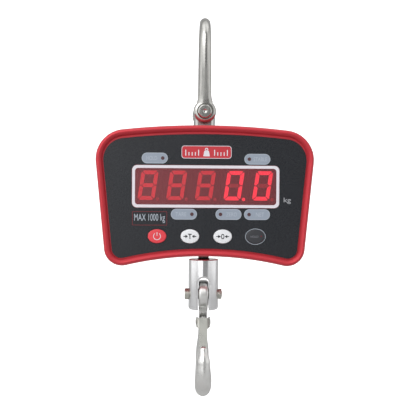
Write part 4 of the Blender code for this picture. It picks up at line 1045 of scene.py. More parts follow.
# ------------------------------------------------------------------ keys
@dataclass
class Keypad:
    """Four elliptical keys that press in through the label."""

    centre: float = -0.1796
    level: float = -0.0364
    first: float = -0.0477
    pitch: float = 0.0328
    half: Pair = (0.00925, 0.0070)
    crest: float = -0.0443
    wall_back: float = -0.0392
    flange: float = 0.0013
    names: tuple[str, ...] = ("power", "tare", "zero", "hold")
    looks: tuple[Look, ...] = (Look.RED_KEY, Look.WHITE_KEY, Look.WHITE_KEY, Look.DARK_KEY)

    def places(self) -> list[Pair]:
        """(x, z) of each key's middle."""
        return [(self.first + index * self.pitch,
                 self.level + self.centre) for index in range(len(self.names))]

    def grown(self, more: float) -> Pair:
        """The key's half sizes, made larger."""
        return self.half[0] + more, self.half[1] + more

    def cap(self, name: str, place: Pair) -> bpy.types.Object:
        """A key: a nearly flat dome, a rounded edge, an upright side and a flange behind the wall.

        Each row is an ellipse with its own growth over the key's size and its own depth.
        """
        side, flange = self.wall_back + CLEARANCE, self.wall_back + CLEARANCE + 0.0010
        corners = ((-0.0068, self.crest), (-0.0035, self.crest + 0.00003), (0.0, self.crest + 0.00022),
                   (0.0, side),
                   (self.flange, side), (self.flange, flange), (-0.0040, flange))
        profile = rounded(corners, (0, 0.003, 0.0009, 0, 0, 0, 0), 8)
        rows = [np.insert(ellipse(self.grown(growth), place), 1, y, axis=1) for growth, y in profile]
        return make_object(f"{name}_key_cap", grid_skin(np.stack(rows)))

    def symbol(self, name: str, place: Pair) -> list[tuple[str, Skin, Look]]:
        """The printed marks of a key, each as a thin raised plate: (name, surface, finish)."""
        front, back = self.crest - 0.00008, self.crest + 0.00010
        x, z = place
        if name == "power":
            turn = math.radians(38)
            outer = arc((x, z), 0.0038, math.pi / 2 + turn, math.pi / 2 - turn + math.tau, 60)
            inner = arc((x, z), 0.0032, math.pi / 2 + turn, math.pi / 2 - turn + math.tau, 60)
            bar = plate(rounded_rectangle((0.0007, 0.0038), 0.0003, (x, z + 0.0022)), front, back)
            return [("power_mark", together([strip(outer, inner, front, back), bar]), Look.WHITE_INK)]
        if name in ("tare", "zero"):
            arrows = [self.arrow(x - 0.0041, z, 1, front, back), self.arrow(x + 0.0041, z, -1, front, back)]
            if name == "tare":
                middle = [plate(rounded_rectangle((0.0038, 0.0009), 0.0002, (x, z + 0.0021)), front, back),
                          plate(rounded_rectangle((0.0010, 0.0048), 0.0002, (x, z)), front, back)]
            else:
                middle = [band(ellipse((0.0017, 0.0026), (x, z), 48), ellipse((0.0009, 0.0017), (x, z), 48),
                               front, back)]
            return [(f"{name}_mark", together(arrows + middle), Look.KEY_INK)]
        dot = plate(ellipse((0.0007, 0.0007), (x + 0.0058, z + 0.0004), 32), front, back)
        return [("hold_accent", dot, Look.DARK_RED_INK)]

    def arrow(self, x: float, z: float, way: int, front: float, back: float) -> Skin:
        """A short arrow that points along X, to the right for 1 and to the left for -1."""
        shaft = rounded_rectangle((0.0032, 0.0008), 0.0003, (x - way * 0.0008, z), 3)
        tip = np.array(((x + way * 0.0022, z), (x - way * 0.0004, z + 0.0017),
                        (x - way * 0.0004, z - 0.0017)))
        return together([plate(shaft, front, back), plate(rounded(tip, 0.0001, 2, closed=True), front, back)])

    def build(self) -> None:
        """Makes the keys and their marks, each on its own key's body."""
        for name, look, place in zip(self.names, self.looks, self.places()):
            body = f"{name}_key"
            fit(self.cap(name, place), look, body, f"{name}_key")
            for mark, skin, ink in self.symbol(name, place):
                fit(make_object(mark, skin), ink, body)
        x, z = self.places()[-1]
        words = lettering("hold_key_word", "HOLD", (0.0078, 0.0020), (x - 0.0010, z), self.crest - 0.00008)
        fit(words, Look.DIM_INK, "hold_key")


def strip(outer: np.ndarray, inner: np.ndarray, front: float, back: float) -> Skin:
    """A flat band along two open lines: a ring of four corners at each step, capped at both ends."""
    corners = ((outer, front), (outer, back), (inner, back), (inner, front))
    points = np.stack([np.insert(line, 1, y, axis=1) for line, y in corners], axis=1)
    return grid_skin(points)


def lettering(name: str, text: str, size: Pair, centre: Pair, front: float,
              thickness: float = 0.00016) -> bpy.types.Object:
    """A word as thin raised ink, fitted to a width and a height.

    Args:
        name: the piece's name.
        text: the word.
        size: width and height of the whole word.
        centre: (x, z) of its middle.
        front: y of its front face.
        thickness: how far it goes back.
    """
    curve = bpy.data.curves.new(name, "FONT")
    curve.body = text
    curve.size = 0.01
    curve.extrude = thickness / 2
    curve.resolution_u = 4
    source = bpy.data.objects.new(name, curve)
    bpy.context.scene.collection.objects.link(source)
    bpy.context.view_layer.update()
    mesh = bpy.data.meshes.new_from_object(source.evaluated_get(bpy.context.evaluated_depsgraph_get()))
    bpy.data.objects.remove(source, do_unlink=True)
    points = np.empty(len(mesh.vertices) * 3, np.float32)
    mesh.vertices.foreach_get("co", points)
    points = points.reshape(-1, 3).astype(float)
    low, high = points.min(axis=0), points.max(axis=0)
    flat = (points[:, :2] - (low + high)[:2] / 2) * (np.array(size) / (high - low)[:2]) + np.array(centre)
    placed = np.stack((flat[:, 0], front + thickness / 2 - points[:, 2], flat[:, 1]), axis=-1)
    mesh.vertices.foreach_set("co", placed.astype(np.float32).ravel())
    mesh.update()
    item = bpy.data.objects.new(name, mesh)
    bpy.context.scene.collection.objects.link(item)
    tidy_mesh(item)
    return item


# ------------------------------------------------------------------ label, window and display
@dataclass
class Panel:
    """The label with its printing, the tinted window and the five digits behind it, two lit and the unlit
    ones given a painted glow.
    """

    outline: Outline = field(default_factory=Outline)
    inset: float = 0.0085
    front: float = -0.0433
    back: float = -0.0425
    window_size: Pair = (0.1474, 0.0425)
    window_place: Pair = (0.00075, 0.0134)
    window_corner: float = 0.005
    border: float = 0.0030
    digit_pitch: float = 0.0287
    digit_half: Pair = (0.0085, 0.0147)
    digit_lift: float = 0.0011
    digit_shift: float = -0.0004
    digit_slant: float = math.tan(math.radians(8.5))
    stroke: float = 0.0038
    gap: float = 0.00045
    pill: Pair = (0.0260, 0.0107)

    indicators = {"hold": (-0.0424, 0.0416), "stable": (0.0442, 0.0411), "tare": (-0.0130, -0.0143),
                  "zero": (0.0156, -0.0143), "mode": (0.0442, -0.0143)}
    led_side = {"hold": 1, "stable": -1, "tare": 1, "zero": -1, "mode": -1}
    words = {"hold": "HOLD", "stable": "STABLE", "tare": "TARE", "zero": "ZERO", "mode": "NET"}

    def at(self, x: float, z: float) -> Pair:
        """A place on the housing's own plane, in the frame."""
        return x, z + self.outline.centre

    def label(self, keypad: Keypad) -> bpy.types.Object:
        """The label's plate with openings for the window and the keys."""
        item = make_object("label_plate", plate(self.outline.line(self.inset, True), self.front, self.back,
                                                0.0001))
        size = tuple(length + 0.0006 for length in self.window_size)
        holes = [plate(rounded_rectangle(size, self.window_corner + 0.0003, self.at(*self.window_place)),
                       self.front - 0.002, self.back + 0.002)]
        holes += [plate(ellipse(keypad.grown(0.0003), place), self.front - 0.002, self.back + 0.002)
                  for place in keypad.places()]
        combine(item, together(holes), "DIFFERENCE")
        return item

    def window(self) -> tuple[bpy.types.Object, bpy.types.Object]:
        """The tinted pane, and the pale border printed round its edge."""
        front = self.front - 0.0002
        middle = self.at(*self.window_place)
        outer = rounded_rectangle(self.window_size, self.window_corner, middle)
        pane = make_object("window_pane", plate(outer, front, self.back, 0.0001))
        rim = rounded_rectangle(tuple(length - 0.0002 for length in self.window_size), self.window_corner,
                                middle)
        size = tuple(length - 2 * self.border for length in self.window_size)
        inner = rounded_rectangle(size, self.window_corner - self.border * 0.6, middle)
        return pane, make_object("window_border", band(rim, inner, front - 0.00008, front + 0.0001))

    def segments(self) -> dict[str, np.ndarray]:
        """The outlines of the seven bars of a digit, before it is slanted.

        Bars meet at 45 degrees on the corners. The side bars and the middle bar end in points at half height.
        """
        half, tall = self.digit_half
        stroke, gap = self.stroke, self.gap
        inner, low = half - stroke, tall - stroke
        mid = stroke / 2
        top = np.array(((-half + gap, tall), (half - gap, tall), (inner - gap, low), (-inner + gap, low)))
        side = np.array(((half, tall - gap), (half, 0.5 * gap + 0.0004), (half - mid, gap * 0.8),
                         (inner, mid + gap * 0.8), (inner, low - gap)))
        bar = np.array(((-half + mid + gap, 0), (-inner + gap, mid), (inner - gap, mid),
                        (half - mid - gap, 0), (inner - gap, -mid), (-inner + gap, -mid)))
        left, down = np.array((-1, 1)), np.array((1, -1))
        top = rounded(top, (0.0014, 0.0014, 0.0002, 0.0002), 4, closed=True)
        side = rounded(side, (0.0014, 0.0004, 0.0003, 0.0002, 0.0002), 4, closed=True)
        return {"a": top, "b": side, "c": side * down, "d": top * down, "e": side * down * left,
                "f": side * left, "g": rounded(bar, 0.0002, 3, closed=True)}

    def digits(self) -> None:
        """Five slanted digits: three unlit eights given a painted glow, then two lit noughts with a point
        between, their unlit bars and points given a fainter painted glow.
        """
        face = frame_depth("digit_1")
        front, back = face - 0.00025, face + 0.0004
        for index in range(5):
            x = self.window_place[0] + self.digit_shift + (index - 2) * self.digit_pitch
            origin = np.array(self.at(x, self.window_place[1] + self.digit_lift))
            lit = index >= 3
            groups: dict[Look, list[Skin]] = {}
            for key, outline in self.segments().items():
                # the unlit digits, and the unlit bars and points of the lit ones, take a painted glow
                look = Look.DIM if not lit else Look.FAINT if key == "g" else Look.LIT
                slanted = outline + outline[:, 1:] * (self.digit_slant, 0.0)
                groups.setdefault(look, []).append(plate(slanted + origin, front, back, 0.0001))
            point = ellipse((0.0017, 0.0017), (0.0096, -self.digit_half[1] + 0.0010), 32) + origin
            look = Look.LIT if index == 3 else Look.FAINT
            groups.setdefault(look, []).append(plate(point, front, back, 0.0001))
            for look, skins in groups.items():
                name = f"digit_{index + 1}_{look.name.lower()}_bars"
                fit(make_object(name, together(skins)), look, Body.SCALE)

    def pills(self) -> None:
        """The five indicator fields: a pale stadium with a lighter line, its lamp and its word."""
        for name, (x, z) in self.indicators.items():
            way = self.led_side[name]
            middle = self.at(x - way * 0.0080, z)
            width, height = self.pill
            outer = rounded_rectangle(self.pill, height / 2 - 0.00001, middle)
            inner = rounded_rectangle((width - 0.0012, height - 0.0012), height / 2 - 0.0007, middle)
            field_item = make_object(f"{name}_field", plate(inner, self.front - 0.00008, self.front + 0.0001))
            fit(field_item, Look.GREY_INK, Body.SCALE)
            fit(make_object(f"{name}_field_line",
                            band(outer, inner, self.front - 0.00010, self.front + 0.0001)),
                Look.PALE_INK, Body.SCALE)
            lamp = ellipse((0.0018, 0.0018), self.at(x, z), 40)
            fit(make_object(f"{name}_lamp_dot", plate(lamp, self.front - 0.00013, self.front)),
                Look.LED_INK, Body.SCALE)
            word = self.words[name]
            size = (0.0027 * len(word) if len(word) < 6 else 0.0135, 0.0040)
            place = (middle[0] - way * 0.0030, middle[1])
            fit(lettering(f"{name}_word", word, size, place, self.front - 0.00014), Look.PALE_INK, Body.SCALE)

    def capacity(self) -> None:
        """The capacity's box and words, and the unit beside the window."""
        middle = self.at(-0.0552, -0.01865)
        outer = rounded_rectangle((0.0348, 0.0139), 0.0006, middle, 3)
        inner = rounded_rectangle((0.0338, 0.0129), 0.0003, middle, 3)
        box = make_object("capacity_box", band(outer, inner, self.front - 0.00008, self.front + 0.0001))
        fit(box, Look.DARK_RED_INK, Body.SCALE)
        words = lettering("capacity_words", "MAX 1000 kg", (0.0306, 0.0090), middle, self.front - 0.00008)
        fit(words, Look.PALE_INK, Body.SCALE)
        unit = lettering("unit_word", "kg", (0.0072, 0.0062), self.at(0.0825, -0.0003), self.front - 0.00008)
        fit(unit, Look.UNIT_INK, Body.SCALE)

    def badge(self) -> None:
        """A plain badge: a weight with its ring, between two short graduated rulers."""
        x, z = self.at(0.0013, 0.04785)
        outer = rounded_rectangle((0.0500, 0.0128), 0.0030, (x, z))
        inner = rounded_rectangle((0.0490, 0.0118), 0.0026, (x, z))
        front = self.front - 0.00008
        fit(make_object("badge_field", plate(inner, front, self.front + 0.0001)), Look.RED_INK, Body.SCALE)
        fit(make_object("badge_line", band(outer, inner, front - 0.00003, self.front + 0.0001)),
            Look.WHITE_INK, Body.SCALE)
        body = np.array(((x - 0.0034, z - 0.0042), (x + 0.0034, z - 0.0042), (x + 0.0022, z + 0.0014),
                         (x - 0.0022, z + 0.0014)))
        marks = [plate(rounded(body, 0.0006, 4, closed=True), front - 0.00006, self.front),
                 band(ellipse((0.0016, 0.0016), (x, z + 0.0027), 40),
                      ellipse((0.0008, 0.0008), (x, z + 0.0027), 40),
                      front - 0.00006, self.front)]
        for step in range(5):
            tall = 0.0060 if step in (0, 4) else 0.0036
            for side in (-1, 1):
                place = (x + side * (0.0080 + step * 0.0032), z - 0.0006 - (0.0060 - tall) / 2)
                marks.append(plate(rounded_rectangle((0.0009, tall), 0.0002, place, 2), front - 0.00006,
                                   self.front))
        fit(make_object("badge_weight", together(marks)), Look.WHITE_INK, Body.SCALE)

    def build(self, keypad: Keypad) -> None:
        """Makes the label, window, digits and printing, and dresses the electronics."""
        fit(self.label(keypad), Look.LABEL, Body.SCALE, "front_label")
        pane, border = self.window()
        fit(pane, Look.WINDOW, Body.SCALE, "display_window")
        fit(border, Look.WHITE_INK, Body.SCALE)
        self.digits()
        self.pills()
        self.capacity()
        self.badge()
        ring = band(ellipse(keypad.grown(0.0010), keypad.places()[-1]),
                    ellipse(keypad.grown(0.0005), keypad.places()[-1]), self.front - 0.00008,
                    self.front + 0.0001)
        fit(make_object("hold_key_ring", ring), Look.PALE_INK, Body.SCALE)
        dress(Look.MODULE, *(f"digit_{number}" for number in range(1, 6)))
        dress(Look.LED, *(f"{name}_led" for name in self.indicators))
        dress(Look.BOARD, "display_board", "main_board")
        dress(Look.SOCKET, *(f"{name}_switch" for name in keypad.names))
        dress(Look.BATTERY, "battery")
        dress(Look.SHEATH, "cell_cable", "battery_lead")


def frame_depth(node: str) -> float:
    """The frontmost y of a modelled node."""
    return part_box(node)[0].y


# ------------------------------------------------------------------ clevis and its pin
@dataclass
class Clevis:
    """The polished swivel clevis, its pin and its nut."""

    pin_level: float = -0.2782
    radius: float = 0.0157
    top: float = 0.0368
    low: float = -0.0162
    chamfer: float = 0.0019
    foot: float = 0.0030
    stem: float = 0.0055
    slot_half: float = 0.0057
    slot_top: float = 0.0178
    pin_radius: float = 0.00545
    spot_face: float = 0.0152
    spot_radius: float = 0.0066
    pin_end: float = 0.0197

    def slot(self) -> Skin:
        """The slot's cutter: an arch carried along Y that flares where it leaves the round body.

        Each point of the arch moves outwards along its own normal by the flare, just where the body's
        surface is, at minus the root of radius squared less x squared, so the chamfer has one width.
        """
        half, hub, deep = self.slot_half, self.slot_top - self.slot_half, -0.030
        rise = np.linspace(deep, hub, 22)[:, None]
        turn = np.linspace(0, math.pi, 49)[1:-1, None]
        right = np.hstack((np.full_like(rise, half), rise))
        crown = np.hstack((half * np.cos(turn), hub + half * np.sin(turn)))
        line = np.concatenate((right, crown, right[::-1] * (-1, 1)))
        normal = np.concatenate((np.tile((1.0, 0.0), (22, 1)), np.hstack((np.cos(turn), np.sin(turn))),
                                 np.tile((-1.0, 0.0), (22, 1))))
        rows = []
        for side, steps in ((-1, ((2, None), (2, -1), (0, 1))), (1, ((0, 1), (2, -1), (2, None)))):
            for grow, inward in steps:
                moved = line + normal * self.chamfer * grow
                face = np.sqrt(np.maximum(self.radius ** 2 - moved[:, 0] ** 2, 0.0))
                depth = np.full(len(line), 0.03) if inward is None else face - self.chamfer * inward
                rows.append(np.stack((moved[:, 0], side * depth, moved[:, 1]), axis=-1))
        return grid_skin(np.stack(rows)).moved((0, 0, self.pin_level))

    def body(self) -> bpy.types.Object:
        """The turned body with its stem, less the slot, the pin's bore and the two spot faces."""
        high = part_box("clevis")[1]
        stem_top = high.z - self.pin_level
        sides = [(self.radius, z) for z in np.linspace(self.top - 0.001, self.low + self.foot, 22)]
        sweep = arc((self.radius - self.foot, self.low + self.foot), self.foot, 0, -math.pi / 2, 10)[1:]
        profile = [(0.0, stem_top), (self.stem - 0.0006, stem_top), (self.stem, stem_top - 0.0006),
                   (self.stem, self.top + 0.0010), (self.stem + 0.0010, self.top),
                   (self.radius - 0.001, self.top), *sides, *sweep.tolist(), (0.0, self.low)]
        item = make_object("clevis_body", revolved(profile, "Z", (0, 0, self.pin_level), 160))
        combine(item, self.slot(), "DIFFERENCE")
        bore, lip = self.pin_radius + CLEARANCE, 0.0005
        line = ((0, -0.03), (self.spot_radius + lip, -0.03), (self.spot_radius + lip, -self.radius),
                (self.spot_radius, -self.spot_face), (bore, -self.spot_face), (bore, self.spot_face),
                (self.spot_radius, self.spot_face), (self.spot_radius + lip, self.radius),
                (self.spot_radius + lip, 0.03), (0, 0.03))
        combine(item, revolved(line, "X", (0, 0, self.pin_level), 96), "DIFFERENCE")
        return item

    def pin(self) -> bpy.types.Object:
        """The pin along X: a low round head, the bearing part and a threaded end."""
        seat, end, thread = self.spot_face + CLEARANCE, self.pin_end, 0.0030
        turns = np.linspace(end - 0.0005, self.spot_face, 17)
        groove = np.where(np.arange(17) % 2 == 0, thread, thread - 0.0003)
        corners = [(0.0, end), (thread - 0.0005, end), *zip(groove, turns), (self.pin_radius, self.spot_face),
                   (self.pin_radius, -seat), (0.0059, -seat), (0.0059, -end + 0.0009), (0.0050, -end),
                   (0.0020, -end), (0.0, -end + 0.0008)]
        return make_object("hook_pin_turned", revolved(corners, "X", (0, 0, self.pin_level), 72))

    def nut(self) -> bpy.types.Object:
        """A hexagon nut whose corners are turned off at both faces."""
        start, end = self.spot_face + CLEARANCE, self.pin_end - 0.0006
        corner, ease, bore = 0.0059, 0.0007, 0.0033
        profile = ((bore, start), (corner * 0.88, start), (corner, start + ease), (corner, end - ease),
                   (corner * 0.88, end), (bore + 0.0004, end), (bore, end - 0.0004))
        skin = revolved(profile, "X", (0, 0, self.pin_level), 72, loop=True, hexagonal=(2, 3))
        return make_object("hook_pin_hex_nut", skin)

    def build(self) -> None:
        """Makes the clevis, the pin and the nut."""
        item = fit(self.body(), Look.CLEVIS_STEEL, Body.SWIVEL, "clevis")
        # painted shade: the stem's faces above the clevis top take the near-black steel colour, for the shade
        # under the housing
        item.data.materials.append(Look.STEM_STEEL.value.material())
        stem = self.pin_level + self.top + 0.0004
        for face in item.data.polygons:
            face.material_index = int(face.center.z > stem)
        fit(self.pin(), Look.PLATED_STEEL, Body.SWIVEL, "hook_pin")
        fit(self.nut(), Look.PLATED_STEEL, Body.SWIVEL, "hook_pin_nut")


# ------------------------------------------------------------------ hook, latch and spring
@dataclass
class Hook:
    """The forged eye hook. Its line runs by angle from straight up over the back, in degrees."""

    pin_level: float = -0.2782
    eye_radius: float = 0.0145
    eye_half: float = 0.0049
    eye_bore: float = 0.00605
    bowl_level: float = -0.068
    bowl_inner: float = 0.018
    neck_rise: float = 0.029
    neck_power: float = 2.2
    tip_angle: float = 300.0
    tip_flare: float = 0.0024
    depth: tuple[Pair, ...] = ((0, .0070), (40, .0075), (90, .0092), (180, .0105), (225, .0095), (270, .0070),
                               (300, .0046))
    width: tuple[Pair, ...] = ((0, .0046), (35, .0046), (90, .0070), (180, .0085), (225, .0085), (270, .0068),
                               (300, .0044))
    pivot: Pair = (0.0045, -0.030)
    rivet_bore: float = 0.0026

    def middles(self, angle: np.ndarray) -> np.ndarray:
        """(y, z) of the centre line: the bowl's radius and the section's depth, with a rise towards the neck
        and a flare towards the tip."""
        neck = np.maximum(0.0, 1.0 - angle / 90.0)
        flare = np.maximum(0.0, (angle - 270.0) / (self.tip_angle - 270.0))
        radius = (self.bowl_inner + eased(self.depth, angle) + self.neck_rise * neck ** self.neck_power
                  + self.tip_flare * flare ** 2)
        turn = np.radians(angle)
        return np.stack((radius * np.sin(turn), self.bowl_level + radius * np.cos(turn)), axis=-1)

    def body(self) -> bpy.types.Object:
        """The swept bar closed by a round tip, joined to its eye and the latch's lug, then bored."""
        run = np.linspace(0, self.tip_angle, 170)
        dome = np.linspace(0, math.pi / 2, 14)[1:]
        angle = np.concatenate((run, self.tip_angle + 8.9 * np.sin(dome)))
        shrink = np.concatenate((np.ones_like(run), np.maximum(np.cos(dome), 0.02)))
        depth, width = eased(self.depth, angle) * shrink, eased(self.width, angle) * shrink
        skin = plane_sweep(self.middles(angle), depth, width, 56, 2.1, 0.00018)
        item = make_object("hook_forging", skin.moved((0, 0, self.pin_level)))
        half, edge = self.eye_half, 0.0014
        corners = ((0, half), (self.eye_radius - edge, half), (self.eye_radius, half - edge),
                   (self.eye_radius, edge - half), (self.eye_radius - edge, -half), (0, -half))
        eye = revolved(rounded(corners, (0, 0.0012, 0.0016, 0.0016, 0.0012, 0), 6), "X",
                       (0, 0, self.pin_level), 128)
        combine(item, eye, "UNION")
        y, z = self.pivot
        bar = rounded(((0, 0.0028), (0.0048, 0.0028), (0.0048, -0.0028), (0, -0.0028)),
                      (0, 0.0006, 0.0006, 0), 4)
        lug = revolved(bar, "X", (0, y, z + self.pin_level), 64)
        combine(item, lug, "UNION")
        web = block((-0.0028, y, z - 0.0042 + self.pin_level),
                    (0.0028, y + 0.0090, z + 0.0042 + self.pin_level), 0.0006)
        combine(item, web, "UNION")
        bore, lip = self.eye_bore, 0.0007
        line = ((0, -0.02), (bore + lip, -0.02), (bore + lip, -half), (bore, lip - half), (bore, half - lip),
                (bore + lip, half), (bore + lip, 0.02), (0, 0.02))
        small = ((0, -0.02), (self.rivet_bore, -0.02), (self.rivet_bore, 0.02), (0, 0.02))
        holes = [revolved(line, "X", (0, 0, self.pin_level), 96),
                 revolved(small, "X", (0, y, z + self.pin_level), 48)]
        combine(item, together(holes), "DIFFERENCE")
        return item

    def build(self) -> None:
        """Makes the hook."""
        fit(self.body(), Look.HOOK_STEEL, Body.HOOK, "hook")


@dataclass
class Latch:
    """The sprung safety latch: a folded sheet on a rivet, with a torsion spring."""

    hook: Hook = field(default_factory=Hook)
    toe_angle: float = 297.0
    toe_radius: float = 0.0190
    offset: float = 0.0059
    sheet: float = 0.0014
    ear_x: float = 0.0057
    rivet_radius: float = 0.0023
    bend: float = 0.0016

    def lie(self) -> tuple[float, float]:
        """The latch's length and its lean, so that its toe meets the inside of the hook's tip."""
        turn = math.radians(self.toe_angle)
        toe = Vector((self.toe_radius * math.sin(turn),
                      self.hook.bowl_level + self.toe_radius * math.cos(turn)))
        reach = toe - Vector(self.hook.pivot)
        lean = math.atan2(-reach.x, -reach.y) - math.asin(self.offset / reach.length)
        return math.sqrt(reach.length_squared - self.offset ** 2), lean

    def lay(self) -> Matrix:
        """From the latch's own frame, with its plate upright, to where it hangs on the rivet."""
        y, z = self.hook.pivot
        turn = Matrix.Rotation(-self.lie()[1], 4, "X")
        return Matrix.Translation((0, y, z + self.hook.pin_level)) @ turn

    def plate(self) -> bpy.types.Object:
        """The folded sheet: at each level a flat front with a bend and a flange at either side.

        The width narrows to the toe and the flanges run out above the narrowing, clear of the hook. The
        middle surface is a grid of levels by places across the fold, and the sheet's thickness grows to
        both sides of it.
        """
        length = self.lie()[0]
        front = -self.offset
        level = np.concatenate((np.linspace(0.0020, -0.018, 30), np.linspace(-0.0185, 0.0018 - length, 16),
                                np.linspace(0.0014 - length, -length, 6)))
        half = eased(((-length, 0.0027), (0.0026 - length, 0.0039), (-0.0110, 0.0043),
                      (-0.0065, self.ear_x + self.sheet / 2), (0.0030, self.ear_x + self.sheet / 2)), level)
        flange = eased(((-0.0082, 0.0), (-0.0055, 0.0044), (0.0020, 0.0078)), level)
        bend = np.minimum(self.bend, half * 0.5)
        quarter = np.linspace(0, math.pi / 2, 9)
        share = np.linspace(0, 1, 9)[1:]
        side = [half[:, None] - bend[:, None] * (1 - np.sin(quarter)), np.repeat(half[:, None], 8, axis=1)]
        rear = [bend[:, None] * (1 - np.cos(quarter)) * np.minimum(flange[:, None] / 0.0012, 1.0),
                bend[:, None] * np.minimum(flange[:, None] / 0.0012, 1.0) + flange[:, None] * share]
        x_side, y_side = np.concatenate(side, axis=1), np.concatenate(rear, axis=1) + front
        inner = np.linspace(-1, 1, 9)[1:-1] * (half - bend)[:, None]
        across = np.concatenate((-x_side[:, ::-1], inner, x_side), axis=1)
        through = np.concatenate((y_side[:, ::-1], np.full_like(inner, front), y_side), axis=1)
        upward = np.broadcast_to(level[:, None], across.shape)
        skin = grid_skin(np.stack((across, through, upward), axis=-1), ring=False, cap=False)
        item = make_object("latch_sheet", skin)
        wall = item.modifiers.new("wall", "SOLIDIFY")
        wall.thickness, wall.offset, wall.use_even_offset = self.sheet, 0.0, True
        bpy.context.view_layer.update()
        settle(item)
        tidy_mesh(item)
        ears = []
        for way in (-1, 1):
            near, far = way * self.ear_x, way * (self.ear_x + self.sheet)
            corners = ((0, near), (0.0055, near), (0.0055, far), (0, far))
            ears.append(revolved(rounded(corners, (0, 0.0002, 0.0003, 0), 3), "X", steps=64))
        combine(item, together(ears), "UNION")
        bore = self.rivet_radius + CLEARANCE
        combine(item, revolved(((0, -0.02), (bore, -0.02), (bore, 0.02), (0, 0.02)), "X", steps=48),
                "DIFFERENCE")
        item.data.transform(self.lay())
        item.data.set_sharp_from_angle(angle=SMOOTH_BELOW)
        return item

    def rivet(self) -> bpy.types.Object:
        """The rivet along X with two domed heads."""
        y, z = self.hook.pivot
        seat, head = self.ear_x + self.sheet + CLEARANCE, 0.0080
        turn = np.linspace(0, math.pi / 2, 9)
        dome = [(0.0038 * math.sin(u), seat + (head - seat) * math.cos(u)) for u in turn]
        profile = dome + [(0.0038, seat), (self.rivet_radius, seat), (self.rivet_radius, -seat),
                          (0.0038, -seat)]
        profile += [(radius, -height) for radius, height in reversed(dome)]
        return make_object("latch_rivet_turned", revolved(profile, "X", (0, y, z + self.hook.pin_level), 64))

    def spring(self) -> bpy.types.Object:
        """A torsion spring: one turn round the rivet, then a leg that bends down inside the sheet."""
        coil, start, turns, pitch = 0.0034, 0.0036, 1.5, 0.0010
        turn = np.linspace(math.pi, math.tau * turns, 61)
        helix = np.stack((start + pitch * turn / math.tau, coil * np.cos(turn), coil * np.sin(turn)), axis=-1)
        end = helix[-1]
        share = np.linspace(0, 1, 13)[1:, None]
        leg = np.array((end[0], -coil - 0.0005, -0.0075))
        bent = ((1 - share) ** 2 * end + 2 * share * (1 - share) * (end + (0, -0.0001, -0.0040))
                + share ** 2 * leg)
        return make_object("latch_spring_wire",
                           wire(np.concatenate((helix, bent)), 0.00042).turned_by(self.lay()))

    def build(self) -> None:
        """Makes the latch, its rivet and its spring."""
        fit(self.plate(), Look.LATCH_STEEL, Body.LATCH, "latch")
        fit(self.rivet(), Look.PLATED_STEEL, Body.HOOK, "latch_rivet")
        fit(self.spring(), Look.SPRING_STEEL, Body.LATCH, "latch_spring")


